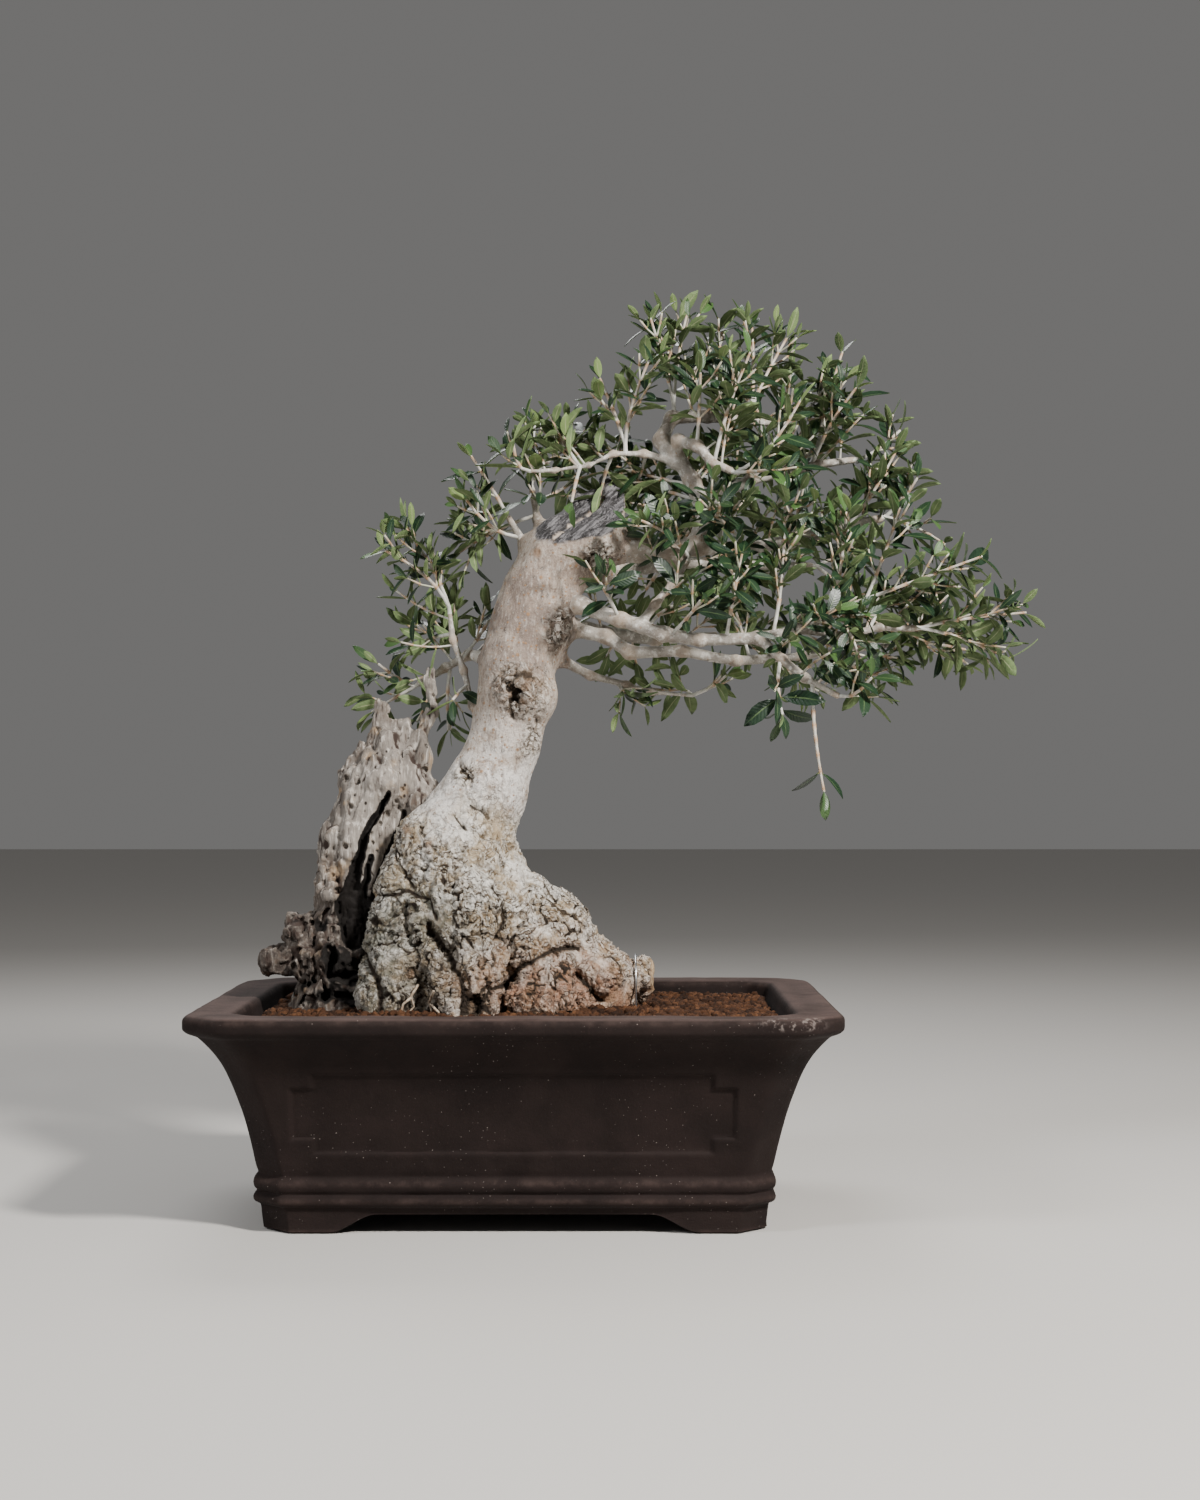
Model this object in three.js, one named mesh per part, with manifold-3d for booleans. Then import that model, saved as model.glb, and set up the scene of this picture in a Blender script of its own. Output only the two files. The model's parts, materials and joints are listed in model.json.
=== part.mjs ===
// Olive bonsai in an unglazed stoneware pot. Millimetres, +Z up, the front of the tree faces -Y.
// Every piece is built round the centre of the pot, and the whole is then moved so that the origin
// lies under the middle of its bounding box.
import * as THREE from 'three';
import { mergeVertices } from 'three/addons/utils/BufferGeometryUtils.js';
import Module from 'manifold-3d';

const wasm = await Module();
wasm.setup();

// ---------------------------------------------------------------- driving dimensions

const POT = {
  height: 150,
  halfLength: 225,
  halfDepth: 175,
  corner: 28,            // length cut off each corner of the rim
  lowerCorner: 20,       // and of the body below it
  cornerGrowsFrom: 100,  // the height where the lower cut begins to widen
  depthShare: 0.9,       // the front leans in a little less than the ends
  floorTop: 32,
  floorUnderside: 18,
  footWall: 16,
  drainHoleX: 90,
  drainHoleRadius: 11,
};
// How far the outside of the pot stands in from the rim at each height.
const POT_PROFILE = [
  [0, 52], [18, 50], [19.5, 46.3], [22.5, 45], [25.5, 45.8], [27, 47.6],
  [29, 45.8], [33, 45], [37, 46], [38.5, 47.8], [60, 43.5], [82, 38],
  [104.5, 30], [114, 26], [124.5, 19], [136, 8], [138, 2.2], [140.5, 0.4],
  [148.4, 0.4], [POT.height, 3],
];
// Half length of the hollow for the soil at each height.
const HOLLOW_PROFILE = [[32, 160], [80, 172], [124, 185], [140, 189.5], [151, 190.5]];
const HOLLOW_CORNER = 16;
const PANEL = {
  bottom: 55,
  top: 111,
  frontHalfLength: 150,
  sideHalfLength: 98,
  notchLength: 15,
  notchHeight: 10,
  depth: 1.8,
};
// The low arches between the feet: half their width at the ground, then how far in and up they rise.
const FOOT_ARCH = {
  frontHalfWidth: 126,
  sideHalfWidth: 92,
  rise: [[0, 0], [8, 1.5], [18, 6], [26, 11], [33, 13]],
};

const GAP = 0.3;         // clearance between pieces that touch
const OVERRUN = 5;       // how far a cutting solid runs past what it cuts
const SOIL = {
  halfLength: 190,
  halfDepth: 140,
  edge: 138.5,           // height at the rim and in the middle
  crown: 145,
  relief: 2,
  wave: 11,
  cell: 28,
  columns: 14,
  rows: 11,
};
const DRAIN_MESH = { size: 40, thickness: 1.5, holes: 2, bar: 4 };
const WIRE = {
  x: 84,
  radius: 0.8,
  clearance: 2.2,        // from the root stub that it crosses
  middleY: -9,           // the middle of that root
  middleZ: 162,
  spread: 105,           // degrees to each side of the top
  steps: 7,
  kneeZ: 138,
  legBottom: 112,
};

const WOOD_GRID = { minimum: [-216, -110, 104], counts: [29, 20, 39], cell: 12 };
const FOOT_Z = 132;      // flat underside of the wood, in the soil

// The trunk, its roots and the burl as chains of [x, y, z, radius] points.
const LIVE_WOOD = [
  [[60, 2, 520, 24], [50, -2, 490, 27], [27, 0, 472, 27], [15, 0, 448, 26.5], [4, 0, 420, 25],
    [-2, 0, 392, 27], [-6, 0, 365, 30], [-14, 0, 337, 28], [-31, 0, 293, 33], [-50, 0, 249, 46],
    [-54, 0, 222, 52], [-52, 0, 190, 56], [-46, 0, 120, 60]],
  [[-30, -6, 232, 34], [15, -8, 190, 36], [50, -10, 158, 31], [60, -8, 144, 26]],
  [[56, -10, 160, 20], [98, -8, 164, 12.5]],
  [[-40, -26, 205, 34], [-34, -54, 160, 25], [-30, -64, 136, 20]],
  [[-82, -20, 190, 30], [-92, -46, 148, 23]],
  [[5, -24, 188, 28], [20, -52, 148, 24]],
  [[-45, 28, 210, 34], [-40, 54, 160, 28], [-38, 64, 136, 24]],
  [[-5, 25, 195, 28], [25, 46, 146, 20]],
  [[-85, 28, 190, 26], [-100, 48, 146, 20]],
  [[4, -18, 378, 12], [10, -14, 368, 16]],
];
// The deadwood shell on the left, with its spires.
const DEAD_WOOD = [
  [[-128, 2, 136, 34], [-122, 6, 205, 27], [-112, 10, 260, 25], [-104, 14, 302, 23], [-100, 18, 332, 15]],
  [[-104, 18, 328, 13], [-106, 22, 352, 7]],
  [[-92, 17, 328, 12], [-85, 20, 364, 7]],
  [[-131, 2, 222, 21], [-131, 10, 262, 19]],
  [[-118, 12, 288, 20], [-122, 19, 310, 13]],
  [[-138, 0, 168, 30], [-160, -2, 198, 15]],
  [[-150, -4, 182, 19], [-182, -9, 176, 8]],
  [[-82, 12, 296, 20], [-74, 16, 330, 12], [-66, 19, 376, 7]],
  [[-78, 16, 215, 28], [-74, 12, 290, 18]],
];
// The dark hollow in the front of the deadwood: a slot through the shell that stops before its back.
const HOLLOW_SLOT = { bottom: [-118, 0, 208, 12], top: [-106, 0, 290, 7], back: 8, softness: 5 };
const TOP_CUT = { point: [48, -24, 487], normal: [-0.1, -0.64, 0.76], reach: 220 };
const STUB_CUT_X = 98;
const LIVE_BLEND = 14;   // how softly the roots and the trunk run into each other
const DEAD_BLEND = 9;
// Lumps of each wavelength and height, which fade towards the smooth upper trunk.
const WOOD_RELIEF = {
  lumps: [[46, 3.2], [24, 1.8]],
  smoothAbove: 430,
  fadeOver: 160,
  least: 0.25,
  shift: 7,
};

// Limbs as [x, y, z, radius] points, each from inside the wood that carries it to its tip.
const LIMBS = {
  apex: [[55, 0, 477, 14], [87, -6, 476, 9], [111, -10, 473, 8], [129, -6, 479, 7.4], [136, 0, 502, 6.4],
    [126, 2, 526, 6], [114, 2, 547, 5.4]],
  crown_back: [[114, 1, 541, 5.6], [103, 4, 557, 5.4], [111, 8, 574, 4.9], [137, 14, 576, 4.2],
    [162, 22, 575, 3.5], [189, 30, 573, 2.8]],
  crown_arch: [[114, 2, 541, 4.8], [115, -8, 555, 4.8], [129, -18, 550, 4.2], [139, -24, 537, 3.6],
    [152, -32, 530, 2.8]],
  crown_left: [[116, 2, 540, 3.8], [90, -4, 546, 3.6], [68, -9, 545, 3.1], [50, -14, 536, 2.6],
    [26, -18, 532, 2.3], [8, -20, 531, 2]],
  crown_right: [[136, 0, 500, 5.4], [150, 8, 519, 4.6], [169, 14, 529, 4], [192, 18, 535, 3.6],
    [220, 18, 541, 3], [246, 16, 544, 2.4]],
  mid_right: [[127, -7, 478, 6.2], [161, 2, 476, 5.2], [198, 8, 483, 4.6], [235, 10, 493, 3.8],
    [264, 8, 500, 3]],
  low_front: [[18, 0, 439, 13], [44, -18, 434, 7.6], [73, -28, 423, 6.4], [104, -33, 412, 6.3],
    [130, -35, 408, 5.4], [173, -38, 409, 5.2], [205, -36, 417, 4.1], [226, -32, 427, 3.4],
    [246, -28, 436, 2.7]],
  low_drop: [[171, -38, 410, 4.6], [188, -50, 393, 3.6], [203, -56, 380, 3.2], [226, -62, 367, 2.5]],
  low_rise: [[86, -31, 418, 3.4], [98, -27, 434, 2.8], [110, -21, 449, 2.5], [121, -15, 465, 2.2]],
  low_back: [[14, 4, 404, 12], [40, 10, 418, 6.6], [63, 9, 413, 6], [80, 6, 401, 5.6], [118, 4, 402, 5],
    [158, 9, 395, 4.2], [207, 24, 399, 3.4], [241, 32, 404, 2.8], [275, 38, 408, 2.2]],
  far_right: [[203, -36, 416, 3.2], [231, -26, 411, 2.8], [261, -18, 418, 2.5], [287, -12, 418, 2.2]],
  under: [[14, 12, 404, 7], [51, 24, 385, 4.2], [78, 30, 378, 3.6], [96, 34, 373, 3], [123, 40, 371, 2.2]],
  back_right: [[34, 12, 453, 12], [73, 48, 465, 7], [119, 76, 474, 5.5], [170, 94, 473, 4.2],
    [221, 98, 473, 3]],
  back_low: [[22, 12, 424, 9], [58, 54, 419, 5.5], [100, 84, 415, 4.4], [147, 100, 419, 3.2]],
  crown_rear: [[117, 75, 473, 5], [135, 84, 507, 4.4], [156, 84, 539, 3.8], [185, 78, 560, 3]],
  left_low: [[-19, 4, 350, 6], [-36, 15, 362, 2.9], [-43, 24, 389, 2.6], [-51, 22, 411, 2.4],
    [-53, 18, 431, 2.1]],
  left_rear: [[-16, 8, 394, 8], [-39, 34, 401, 3.5], [-58, 48, 392, 2.9], [-78, 54, 380, 2.3]],
  left_top: [[20, 6, 467, 8], [2, 6, 482, 3], [-9, 2, 500, 2.3]],
  left_up: [[25, 12, 478, 8], [12, 17, 500, 3], [8, 16, 522, 2.3]],
};

// Leafy stems: limb, place along it from 0 to 1, and the tips that its twigs grow to.
const LEAFY_STEMS = [
  ['crown_back', 0.34, [[95, -6, 645], [123, 16, 654]]],
  ['crown_back', 0.60, [[150, 40, 645]]],
  ['crown_back', 0.82, [[171, 24, 645], [198, 34, 638]]],
  ['crown_back', 1, [[229, 10, 604]]],
  ['crown_arch', 0.50, [[130, -42, 599]]],
  ['crown_arch', 0.78, [[166, -40, 614]]],
  ['crown_arch', 1, [[201, -48, 578], [178, -66, 526]]],
  ['crown_left', 0.36, [[58, 6, 603], [93, -22, 610]]],
  ['crown_left', 0.68, [[20, 4, 565], [30, -44, 507]]],
  ['crown_left', 1, [[-5, -26, 553]]],
  ['crown_right', 0.45, [[175, -10, 570]]],
  ['crown_right', 0.75, [[245, -12, 593], [238, 20, 625]]],
  ['crown_right', 1, [[281, 22, 567], [263, -4, 519]]],
  ['mid_right', 0.30, [[129, -50, 507]]],
  ['mid_right', 0.52, [[201, -40, 508]]],
  ['mid_right', 0.78, [[274, -8, 547], [240, -14, 445]]],
  ['mid_right', 1, [[290, -6, 528], [308, -20, 478]]],
  ['low_front', 0.26, [[58, -52, 448]]],
  ['low_front', 0.42, [[129, -66, 434]]],
  ['low_front', 0.58, [[159, -58, 469]]],
  ['low_front', 0.72, [[190, -45, 521]]],
  ['low_front', 0.88, [[234, -44, 499], [241, -70, 392]]],
  ['low_front', 1, [[274, -34, 503], [331, -46, 467]]],
  ['low_drop', 0.34, [[186, -76, 353]]],
  ['low_drop', 0.72, [[216, -66, 299]]],
  ['low_drop', 1, [[248, -80, 379]]],
  ['low_rise', 1, [[87, -52, 492], [155, -30, 455]]],
  ['far_right', 0.60, [[295, -10, 453]]],
  ['far_right', 1, [[368, -14, 429], [360, 10, 396]]],
  ['low_back', 0.60, [[159, 30, 434]]],
  ['low_back', 0.86, [[269, 50, 375]]],
  ['low_back', 1, [[335, 60, 406], [317, 70, 452]]],
  ['under', 0.55, [[69, 26, 352]]],
  ['under', 1, [[112, 46, 350], [154, 30, 364]]],
  ['back_right', 0.45, [[89, 106, 446]]],
  ['back_right', 0.75, [[183, 110, 510]]],
  ['back_right', 1, [[269, 120, 495], [261, 112, 440]]],
  ['back_low', 0.60, [[128, 112, 448]]],
  ['back_low', 1, [[206, 104, 400]]],
  ['crown_rear', 0.45, [[105, 110, 525]]],
  ['crown_rear', 0.80, [[213, 96, 570]]],
  ['crown_rear', 1, [[203, 72, 620], [151, 90, 616]]],
  ['left_low', 0.42, [[-50, 2, 366]]],
  ['left_low', 0.62, [[-17, 50, 443]]],
  ['left_low', 0.84, [[-73, 40, 412]]],
  ['left_low', 1, [[-100, 6, 476], [-86, 22, 494]]],
  ['left_rear', 0.36, [[-18, 76, 423]]],
  ['left_rear', 0.66, [[-56, 52, 345]]],
  ['left_rear', 1, [[-109, 50, 395], [-115, 64, 359]]],
  ['left_top', 0.62, [[-39, -16, 511]]],
  ['left_top', 1, [[-36, -8, 544]]],
  ['left_up', 0.62, [[-46, 20, 476]]],
  ['left_up', 1, [[10, 16, 571], [51, 40, 562]]],
];
const STEM = {
  radius: 1.9,
  forkRadius: 1.5,
  tipRadius: 1,
  collar: 4,             // length of the foot that the twigs of one stem share
  lean: 0.6,             // how much of its direction a stem may take from its limb
  sway: 0.12,            // how much a twig bows, as a share of its length
  seatStep: 0.15,
  seatReach: 40,
};
const LEAF = {
  length: [19, 28],
  widthShare: 0.27,      // of the length
  thickness: 0.7,
  arch: 0.1,
  stations: [[0.32, 0.96], [0.7, 0.84]],   // share of the length, share of the half width there
  splay: [36, 62],       // degrees between leaf and twig
  tipSplay: [24, 40],
  roll: 35,
  lift: 0.15,            // how much a leaf reaches up to the light
  swing: 0.25,
  spacing: 11,
  twigShares: [0.14, 0.98],
  leafyPairs: 2.6,       // pairs with leaves on a twig, about
  rootLength: 2,
  attempts: 9,
};
const CLEARANCE = 0.4;   // between the leaves of different stems, and half of it within a stem
// The plain hole in the soil for the foot of the wood: its points are this far off the widest roots.
const FOOT_HOLE = { centre: [-45, 0], points: 40, room: 1.6, top: 160, furthest: 170 };
const SEED = 4711;

// ---------------------------------------------------------------- vectors, noise and random draws

const vec = ([x, y, z]) => new THREE.Vector3(x, y, z);
const mix = (a, b, t) => a + (b - a) * t;
const radians = THREE.MathUtils.degToRad;
const UP = new THREE.Vector3(0, 0, 1);
const CROSSWISE = new THREE.Vector3(0.31, 0.95, 0.05);   // no limb or twig starts out this way

function randomStream(seed) {
  let state = seed;
  return () => {
    state = (state * 1664525 + 1013904223) % 4294967296;
    return state / 4294967296;
  };
}

function latticeValue(i, j, k) {
  const wave = Math.sin(i * 127.1 + j * 311.7 + k * 74.7) * 43758.5453;
  return 2 * (wave - Math.floor(wave)) - 1;
}

// Smooth noise from -1 to 1 that changes over about one unit.
function noise(x, y, z) {
  const [i, j, k] = [Math.floor(x), Math.floor(y), Math.floor(z)];
  const ease = (t) => t * t * (3 - 2 * t);
  const [u, v, w] = [ease(x - i), ease(y - j), ease(z - k)];
  const alongX = (b, c) => mix(latticeValue(i, j + b, k + c), latticeValue(i + 1, j + b, k + c), u);
  return mix(mix(alongX(0, 0), alongX(1, 0), v), mix(alongX(0, 1), alongX(1, 1), v), w);
}

// ---------------------------------------------------------------- closed solids

function solidFromArrays(vertices, triangles) {
  const mesh = new wasm.Mesh({
    numProp: 3,
    vertProperties: Float32Array.from(vertices.flat()),
    triVerts: Uint32Array.from(triangles.flat()),
  });
  return new wasm.Manifold(mesh);
}

function solidFromGeometry(geometry) {
  const bare = geometry.clone();
  bare.deleteAttribute('normal');
  bare.deleteAttribute('uv');
  const merged = mergeVertices(bare, 1e-4);
  const mesh = new wasm.Mesh({
    numProp: 3,
    vertProperties: Float32Array.from(merged.attributes.position.array),
    triVerts: Uint32Array.from(merged.index.array),
  });
  return new wasm.Manifold(mesh);
}

function geometryFromSolid(solid) {
  const { vertProperties, triVerts } = solid.getMesh();
  const geometry = new THREE.BufferGeometry();
  geometry.setAttribute('position', new THREE.BufferAttribute(Float32Array.from(vertProperties), 3));
  geometry.setIndex(new THREE.BufferAttribute(Uint32Array.from(triVerts), 1));
  geometry.computeVertexNormals();
  return geometry;
}

function box(minimum, maximum) {
  const size = vec(maximum).sub(vec(minimum));
  const middle = vec(minimum).add(vec(maximum)).multiplyScalar(0.5);
  const geometry = new THREE.BoxGeometry(size.x, size.y, size.z);
  return solidFromGeometry(geometry.translate(middle.x, middle.y, middle.z));
}

// Joins closed rings of equal point count, from the bottom one to the top one.
function loft(rings) {
  const sides = rings[0].length;
  const triangles = [];
  for (let level = 0; level + 1 < rings.length; level += 1) {
    for (let side = 0; side < sides; side += 1) {
      const a = level * sides + side;
      const b = level * sides + (side + 1) % sides;
      triangles.push([a, b, b + sides], [a, b + sides, a + sides]);
    }
  }
  const last = (rings.length - 1) * sides;
  for (let side = 1; side + 1 < sides; side += 1) {
    triangles.push([0, side + 1, side], [last, last + side, last + side + 1]);
  }
  return solidFromArrays(rings.flat(), triangles);
}

// A tapered tube along points, whose rings turn with the path and never twist.
function tube(points, radii, sides) {
  const tangents = points.map((point, index) => {
    const before = points[Math.max(index - 1, 0)];
    const after = points[Math.min(index + 1, points.length - 1)];
    return after.clone().sub(before).normalize();
  });
  const across = CROSSWISE.clone().cross(tangents[0]).normalize();
  const rings = points.map((point, index) => {
    const tangent = tangents[index];
    across.addScaledVector(tangent, -across.dot(tangent)).normalize();
    const other = tangent.clone().cross(across);
    return Array.from({ length: sides }, (_, side) => {
      const turn = 2 * Math.PI * side / sides;
      return point.clone()
        .addScaledVector(across, radii[index] * Math.cos(turn))
        .addScaledVector(other, radii[index] * Math.sin(turn))
        .toArray();
    });
  });
  return loft(rings);
}

function joined(solids) {
  return wasm.Manifold.union(solids);
}

// ---------------------------------------------------------------- pot

function cutCornerRing(halfLength, halfDepth, corner, z) {
  const [x, y, c] = [halfLength, halfDepth, corner];
  return [
    [x, -y + c, z], [x, y - c, z], [x - c, y, z], [-x + c, y, z],
    [-x, y - c, z], [-x, -y + c, z], [-x + c, -y, z], [x - c, -y, z],
  ];
}

function potShell(inset) {
  return loft(POT_PROFILE.map(([z, leanIn]) => {
    const widening = Math.max(0, (z - POT.cornerGrowsFrom) / (POT.height - POT.cornerGrowsFrom));
    return cutCornerRing(
      POT.halfLength - leanIn - inset,
      POT.halfDepth - leanIn * POT.depthShare - inset,
      mix(POT.lowerCorner, POT.corner, widening) - 0.4 * inset,
      z,
    );
  }));
}

function soilHollow(clearance) {
  const depthLess = POT.halfLength - POT.halfDepth;
  return loft(HOLLOW_PROFILE.map(([z, halfLength], level) => cutCornerRing(
    halfLength - clearance,
    halfLength - depthLess - clearance,
    HOLLOW_CORNER,
    level === 0 ? z + clearance : z,
  )));
}

// The panel's outline has a square notch at each corner.
function panelShape(halfLength) {
  const { bottom, top, notchLength, notchHeight } = PANEL;
  const inner = halfLength - notchLength;
  return new THREE.Shape([
    [-inner, bottom], [inner, bottom], [inner, bottom + notchHeight], [halfLength, bottom + notchHeight],
    [halfLength, top - notchHeight], [inner, top - notchHeight], [inner, top], [-inner, top],
    [-inner, top - notchHeight], [-halfLength, top - notchHeight], [-halfLength, bottom + notchHeight],
    [-inner, bottom + notchHeight],
  ].map(([x, z]) => new THREE.Vector2(x, z)));
}

function archShape(innerFoot) {
  const rise = FOOT_ARCH.rise.map(([inward, z]) => new THREE.Vector2(innerFoot - inward, z));
  const mirrored = rise.map((point) => new THREE.Vector2(-point.x, point.y)).reverse();
  const below = [innerFoot, -innerFoot].map((x) => new THREE.Vector2(x, -OVERRUN));
  return new THREE.Shape([below[0], ...rise, ...mirrored, below[1]]);
}

// An outline drawn in length and height, extruded through the pot from front to back or side to side.
function throughPot(shape, sideways) {
  const reach = 2 * (POT.halfLength + OVERRUN);
  const geometry = new THREE.ExtrudeGeometry(shape, { depth: reach, bevelEnabled: false });
  geometry.translate(0, 0, -reach / 2).rotateX(Math.PI / 2);
  if (sideways) geometry.rotateZ(Math.PI / 2);
  return solidFromGeometry(geometry);
}

function makePot() {
  const baseLeanIn = POT_PROFILE[0][1];
  const innerFootX = POT.halfLength - baseLeanIn - POT.footWall;
  const innerFootY = POT.halfDepth - baseLeanIn * POT.depthShare - POT.footWall;
  const panels = joined([
    throughPot(panelShape(PANEL.frontHalfLength), false),
    throughPot(panelShape(PANEL.sideHalfLength), true),
  ]).subtract(potShell(PANEL.depth));
  const holeLength = POT.floorTop - POT.floorUnderside + 2 * OVERRUN;
  const drainHoles = [-1, 1].map((side) => {
    const hole = new THREE.CylinderGeometry(POT.drainHoleRadius, POT.drainHoleRadius, holeLength, 12);
    hole.rotateX(Math.PI / 2).translate(side * POT.drainHoleX, 0, (POT.floorTop + POT.floorUnderside) / 2);
    return solidFromGeometry(hole);
  });
  return potShell(0)
    .subtract(soilHollow(0))
    .subtract(panels)
    .subtract(box([-innerFootX, -innerFootY, -OVERRUN], [innerFootX, innerFootY, POT.floorUnderside]))
    .subtract(throughPot(archShape(FOOT_ARCH.frontHalfWidth), false))
    .subtract(throughPot(archShape(FOOT_ARCH.sideHalfWidth), true))
    .subtract(joined(drainHoles));
}

// A square plastic mesh over one drain hole.
function makeDrainMesh(x) {
  const { size, thickness, holes, bar } = DRAIN_MESH;
  const bottom = POT.floorTop + GAP;
  const pitch = (size - bar) / holes;
  const cuts = [];
  for (let column = 0; column < holes; column += 1) {
    for (let row = 0; row < holes; row += 1) {
      const left = x - size / 2 + bar + column * pitch;
      const front = -size / 2 + bar + row * pitch;
      const [right, back] = [left + pitch - bar, front + pitch - bar];
      cuts.push(box([left, front, bottom - OVERRUN], [right, back, bottom + thickness + OVERRUN]));
    }
  }
  const sheet = box([x - size / 2, -size / 2, bottom], [x + size / 2, size / 2, bottom + thickness]);
  return sheet.subtract(joined(cuts));
}

// ---------------------------------------------------------------- wood as a distance field

// From a point to the round cone between two [x, y, z, radius] points.
function coneDistance([x, y, z], start, end) {
  const [dx, dy, dz] = [end[0] - start[0], end[1] - start[1], end[2] - start[2]];
  const [px, py, pz] = [x - start[0], y - start[1], z - start[2]];
  const t = THREE.MathUtils.clamp((px * dx + py * dy + pz * dz) / (dx * dx + dy * dy + dz * dz), 0, 1);
  return Math.hypot(px - dx * t, py - dy * t, pz - dz * t) - mix(start[3], end[3], t);
}

// The smaller of two distances, with a soft join of the given reach.
function smoothLess(a, b, reach) {
  const overlap = Math.max(reach - Math.abs(a - b), 0) / reach;
  return Math.min(a, b) - overlap * overlap * reach / 4;
}

function chainDistance(point, chains, reach) {
  let nearest = Infinity;
  chains.forEach((chain) => chain.slice(1).forEach((end, leg) => {
    const distance = coneDistance(point, chain[leg], end);
    nearest = nearest === Infinity ? distance : smoothLess(nearest, distance, reach);
  }));
  return nearest;
}

// Negative inside the wood.
function woodDistance([x, y, z]) {
  const live = Math.max(chainDistance([x, y, z], LIVE_WOOD, LIVE_BLEND), x - STUB_CUT_X);
  const dead = chainDistance([x, y, z], DEAD_WOOD, DEAD_BLEND);
  const slot = Math.max(coneDistance([x, 0, z], HOLLOW_SLOT.bottom, HOLLOW_SLOT.top), y - HOLLOW_SLOT.back);
  const hollowed = -smoothLess(-smoothLess(live, dead, DEAD_BLEND), slot, HOLLOW_SLOT.softness);
  const { lumps, smoothAbove, fadeOver, least, shift } = WOOD_RELIEF;
  const roughness = THREE.MathUtils.clamp((smoothAbove - z) / fadeOver, least, 1);
  let relief = 0;
  lumps.forEach(([wave, height]) => { relief += height * noise(x / wave, y / wave, z / wave + shift); });
  return Math.max(hollowed + roughness * relief, FOOT_Z - WOOD_GRID.cell - z);
}

// Samples the field on a grid and lays one vertex in each cell that its surface crosses.
function surfaceOf(distance, { minimum, counts, cell }) {
  const [nx, ny, nz] = counts;
  const at = (i, j, k) => (k * ny + j) * nx + i;
  const values = new Float64Array(nx * ny * nz);
  for (let k = 0; k < nz; k += 1) {
    for (let j = 0; j < ny; j += 1) {
      for (let i = 0; i < nx; i += 1) {
        values[at(i, j, k)] = distance([i, j, k].map((step, axis) => minimum[axis] + step * cell));
      }
    }
  }
  fillCheckerboards(values, counts, at);

  const vertexOfCell = new Map();
  const vertices = [];
  for (let k = 0; k + 1 < nz; k += 1) {
    for (let j = 0; j + 1 < ny; j += 1) {
      for (let i = 0; i + 1 < nx; i += 1) {
        const crossing = cellCrossing(values, at, i, j, k);
        if (!crossing) continue;
        vertexOfCell.set(at(i, j, k), vertices.length);
        vertices.push(crossing.map((value, axis) => minimum[axis] + value * cell));
      }
    }
  }

  const triangles = [];
  const addQuad = (cells, flip) => {
    const [a, b, c, d] = cells.map((index) => vertexOfCell.get(index));
    const straight = (p, q) => vec(vertices[p]).distanceTo(vec(vertices[q]));
    const halves = straight(a, c) <= straight(b, d) ? [[a, b, c], [a, c, d]] : [[a, b, d], [b, c, d]];
    halves.forEach((half) => triangles.push(flip ? half.reverse() : half));
  };
  for (let k = 1; k + 1 < nz; k += 1) {
    for (let j = 1; j + 1 < ny; j += 1) {
      for (let i = 1; i + 1 < nx; i += 1) {
        const inside = values[at(i, j, k)] < 0;
        if (inside !== values[at(i + 1, j, k)] < 0) {
          addQuad([at(i, j - 1, k - 1), at(i, j, k - 1), at(i, j, k), at(i, j - 1, k)], !inside);
        }
        if (inside !== values[at(i, j + 1, k)] < 0) {
          addQuad([at(i - 1, j, k - 1), at(i - 1, j, k), at(i, j, k), at(i, j, k - 1)], !inside);
        }
        if (inside !== values[at(i, j, k + 1)] < 0) {
          addQuad([at(i - 1, j - 1, k), at(i, j - 1, k), at(i, j, k), at(i - 1, j, k)], !inside);
        }
      }
    }
  }
  return solidFromArrays(vertices, triangles);
}

const CORNERS = [0, 1, 2, 3, 4, 5, 6, 7].map((bits) => [bits & 1, (bits >> 1) & 1, bits >> 2]);
const EDGES = CORNERS.flatMap((_, index) => [1, 2, 4]
  .filter((bit) => !(index & bit))
  .map((bit) => [index, index | bit]));

// The mean of the points where the cell's edges cross the surface, in cells, or null.
function cellCrossing(values, at, i, j, k) {
  const corner = CORNERS.map(([a, b, c]) => values[at(i + a, j + b, k + c)]);
  const sum = [0, 0, 0];
  let crossings = 0;
  for (const [from, to] of EDGES) {
    if (corner[from] < 0 === corner[to] < 0) continue;
    const t = corner[from] / (corner[from] - corner[to]);
    [i, j, k].forEach((base, axis) => {
      sum[axis] += base + mix(CORNERS[from][axis], CORNERS[to][axis], t);
    });
    crossings += 1;
  }
  return crossings ? sum.map((value) => value / crossings) : null;
}

// Two solid corners that meet only across a face would pinch the surface, so the gap there is filled.
function fillCheckerboards(values, [nx, ny, nz], at) {
  const faces = [[[1, 0, 0], [0, 1, 0]], [[0, 1, 0], [0, 0, 1]], [[0, 0, 1], [1, 0, 0]]];
  let changed = true;
  while (changed) {
    changed = false;
    for (let k = 0; k + 1 < nz; k += 1) {
      for (let j = 0; j + 1 < ny; j += 1) {
        for (let i = 0; i + 1 < nx; i += 1) {
          for (const [u, v] of faces) {
            const a = at(i, j, k);
            const b = at(i + u[0], j + u[1], k + u[2]);
            const c = at(i + u[0] + v[0], j + u[1] + v[1], k + u[2] + v[2]);
            const d = at(i + v[0], j + v[1], k + v[2]);
            const diagonal = values[a] < 0 === values[c] < 0 && values[b] < 0 === values[d] < 0;
            if (!diagonal || values[a] < 0 === values[b] < 0) continue;
            values[values[a] < 0 ? b : a] = -0.5;
            changed = true;
          }
        }
      }
    }
  }
}

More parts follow.
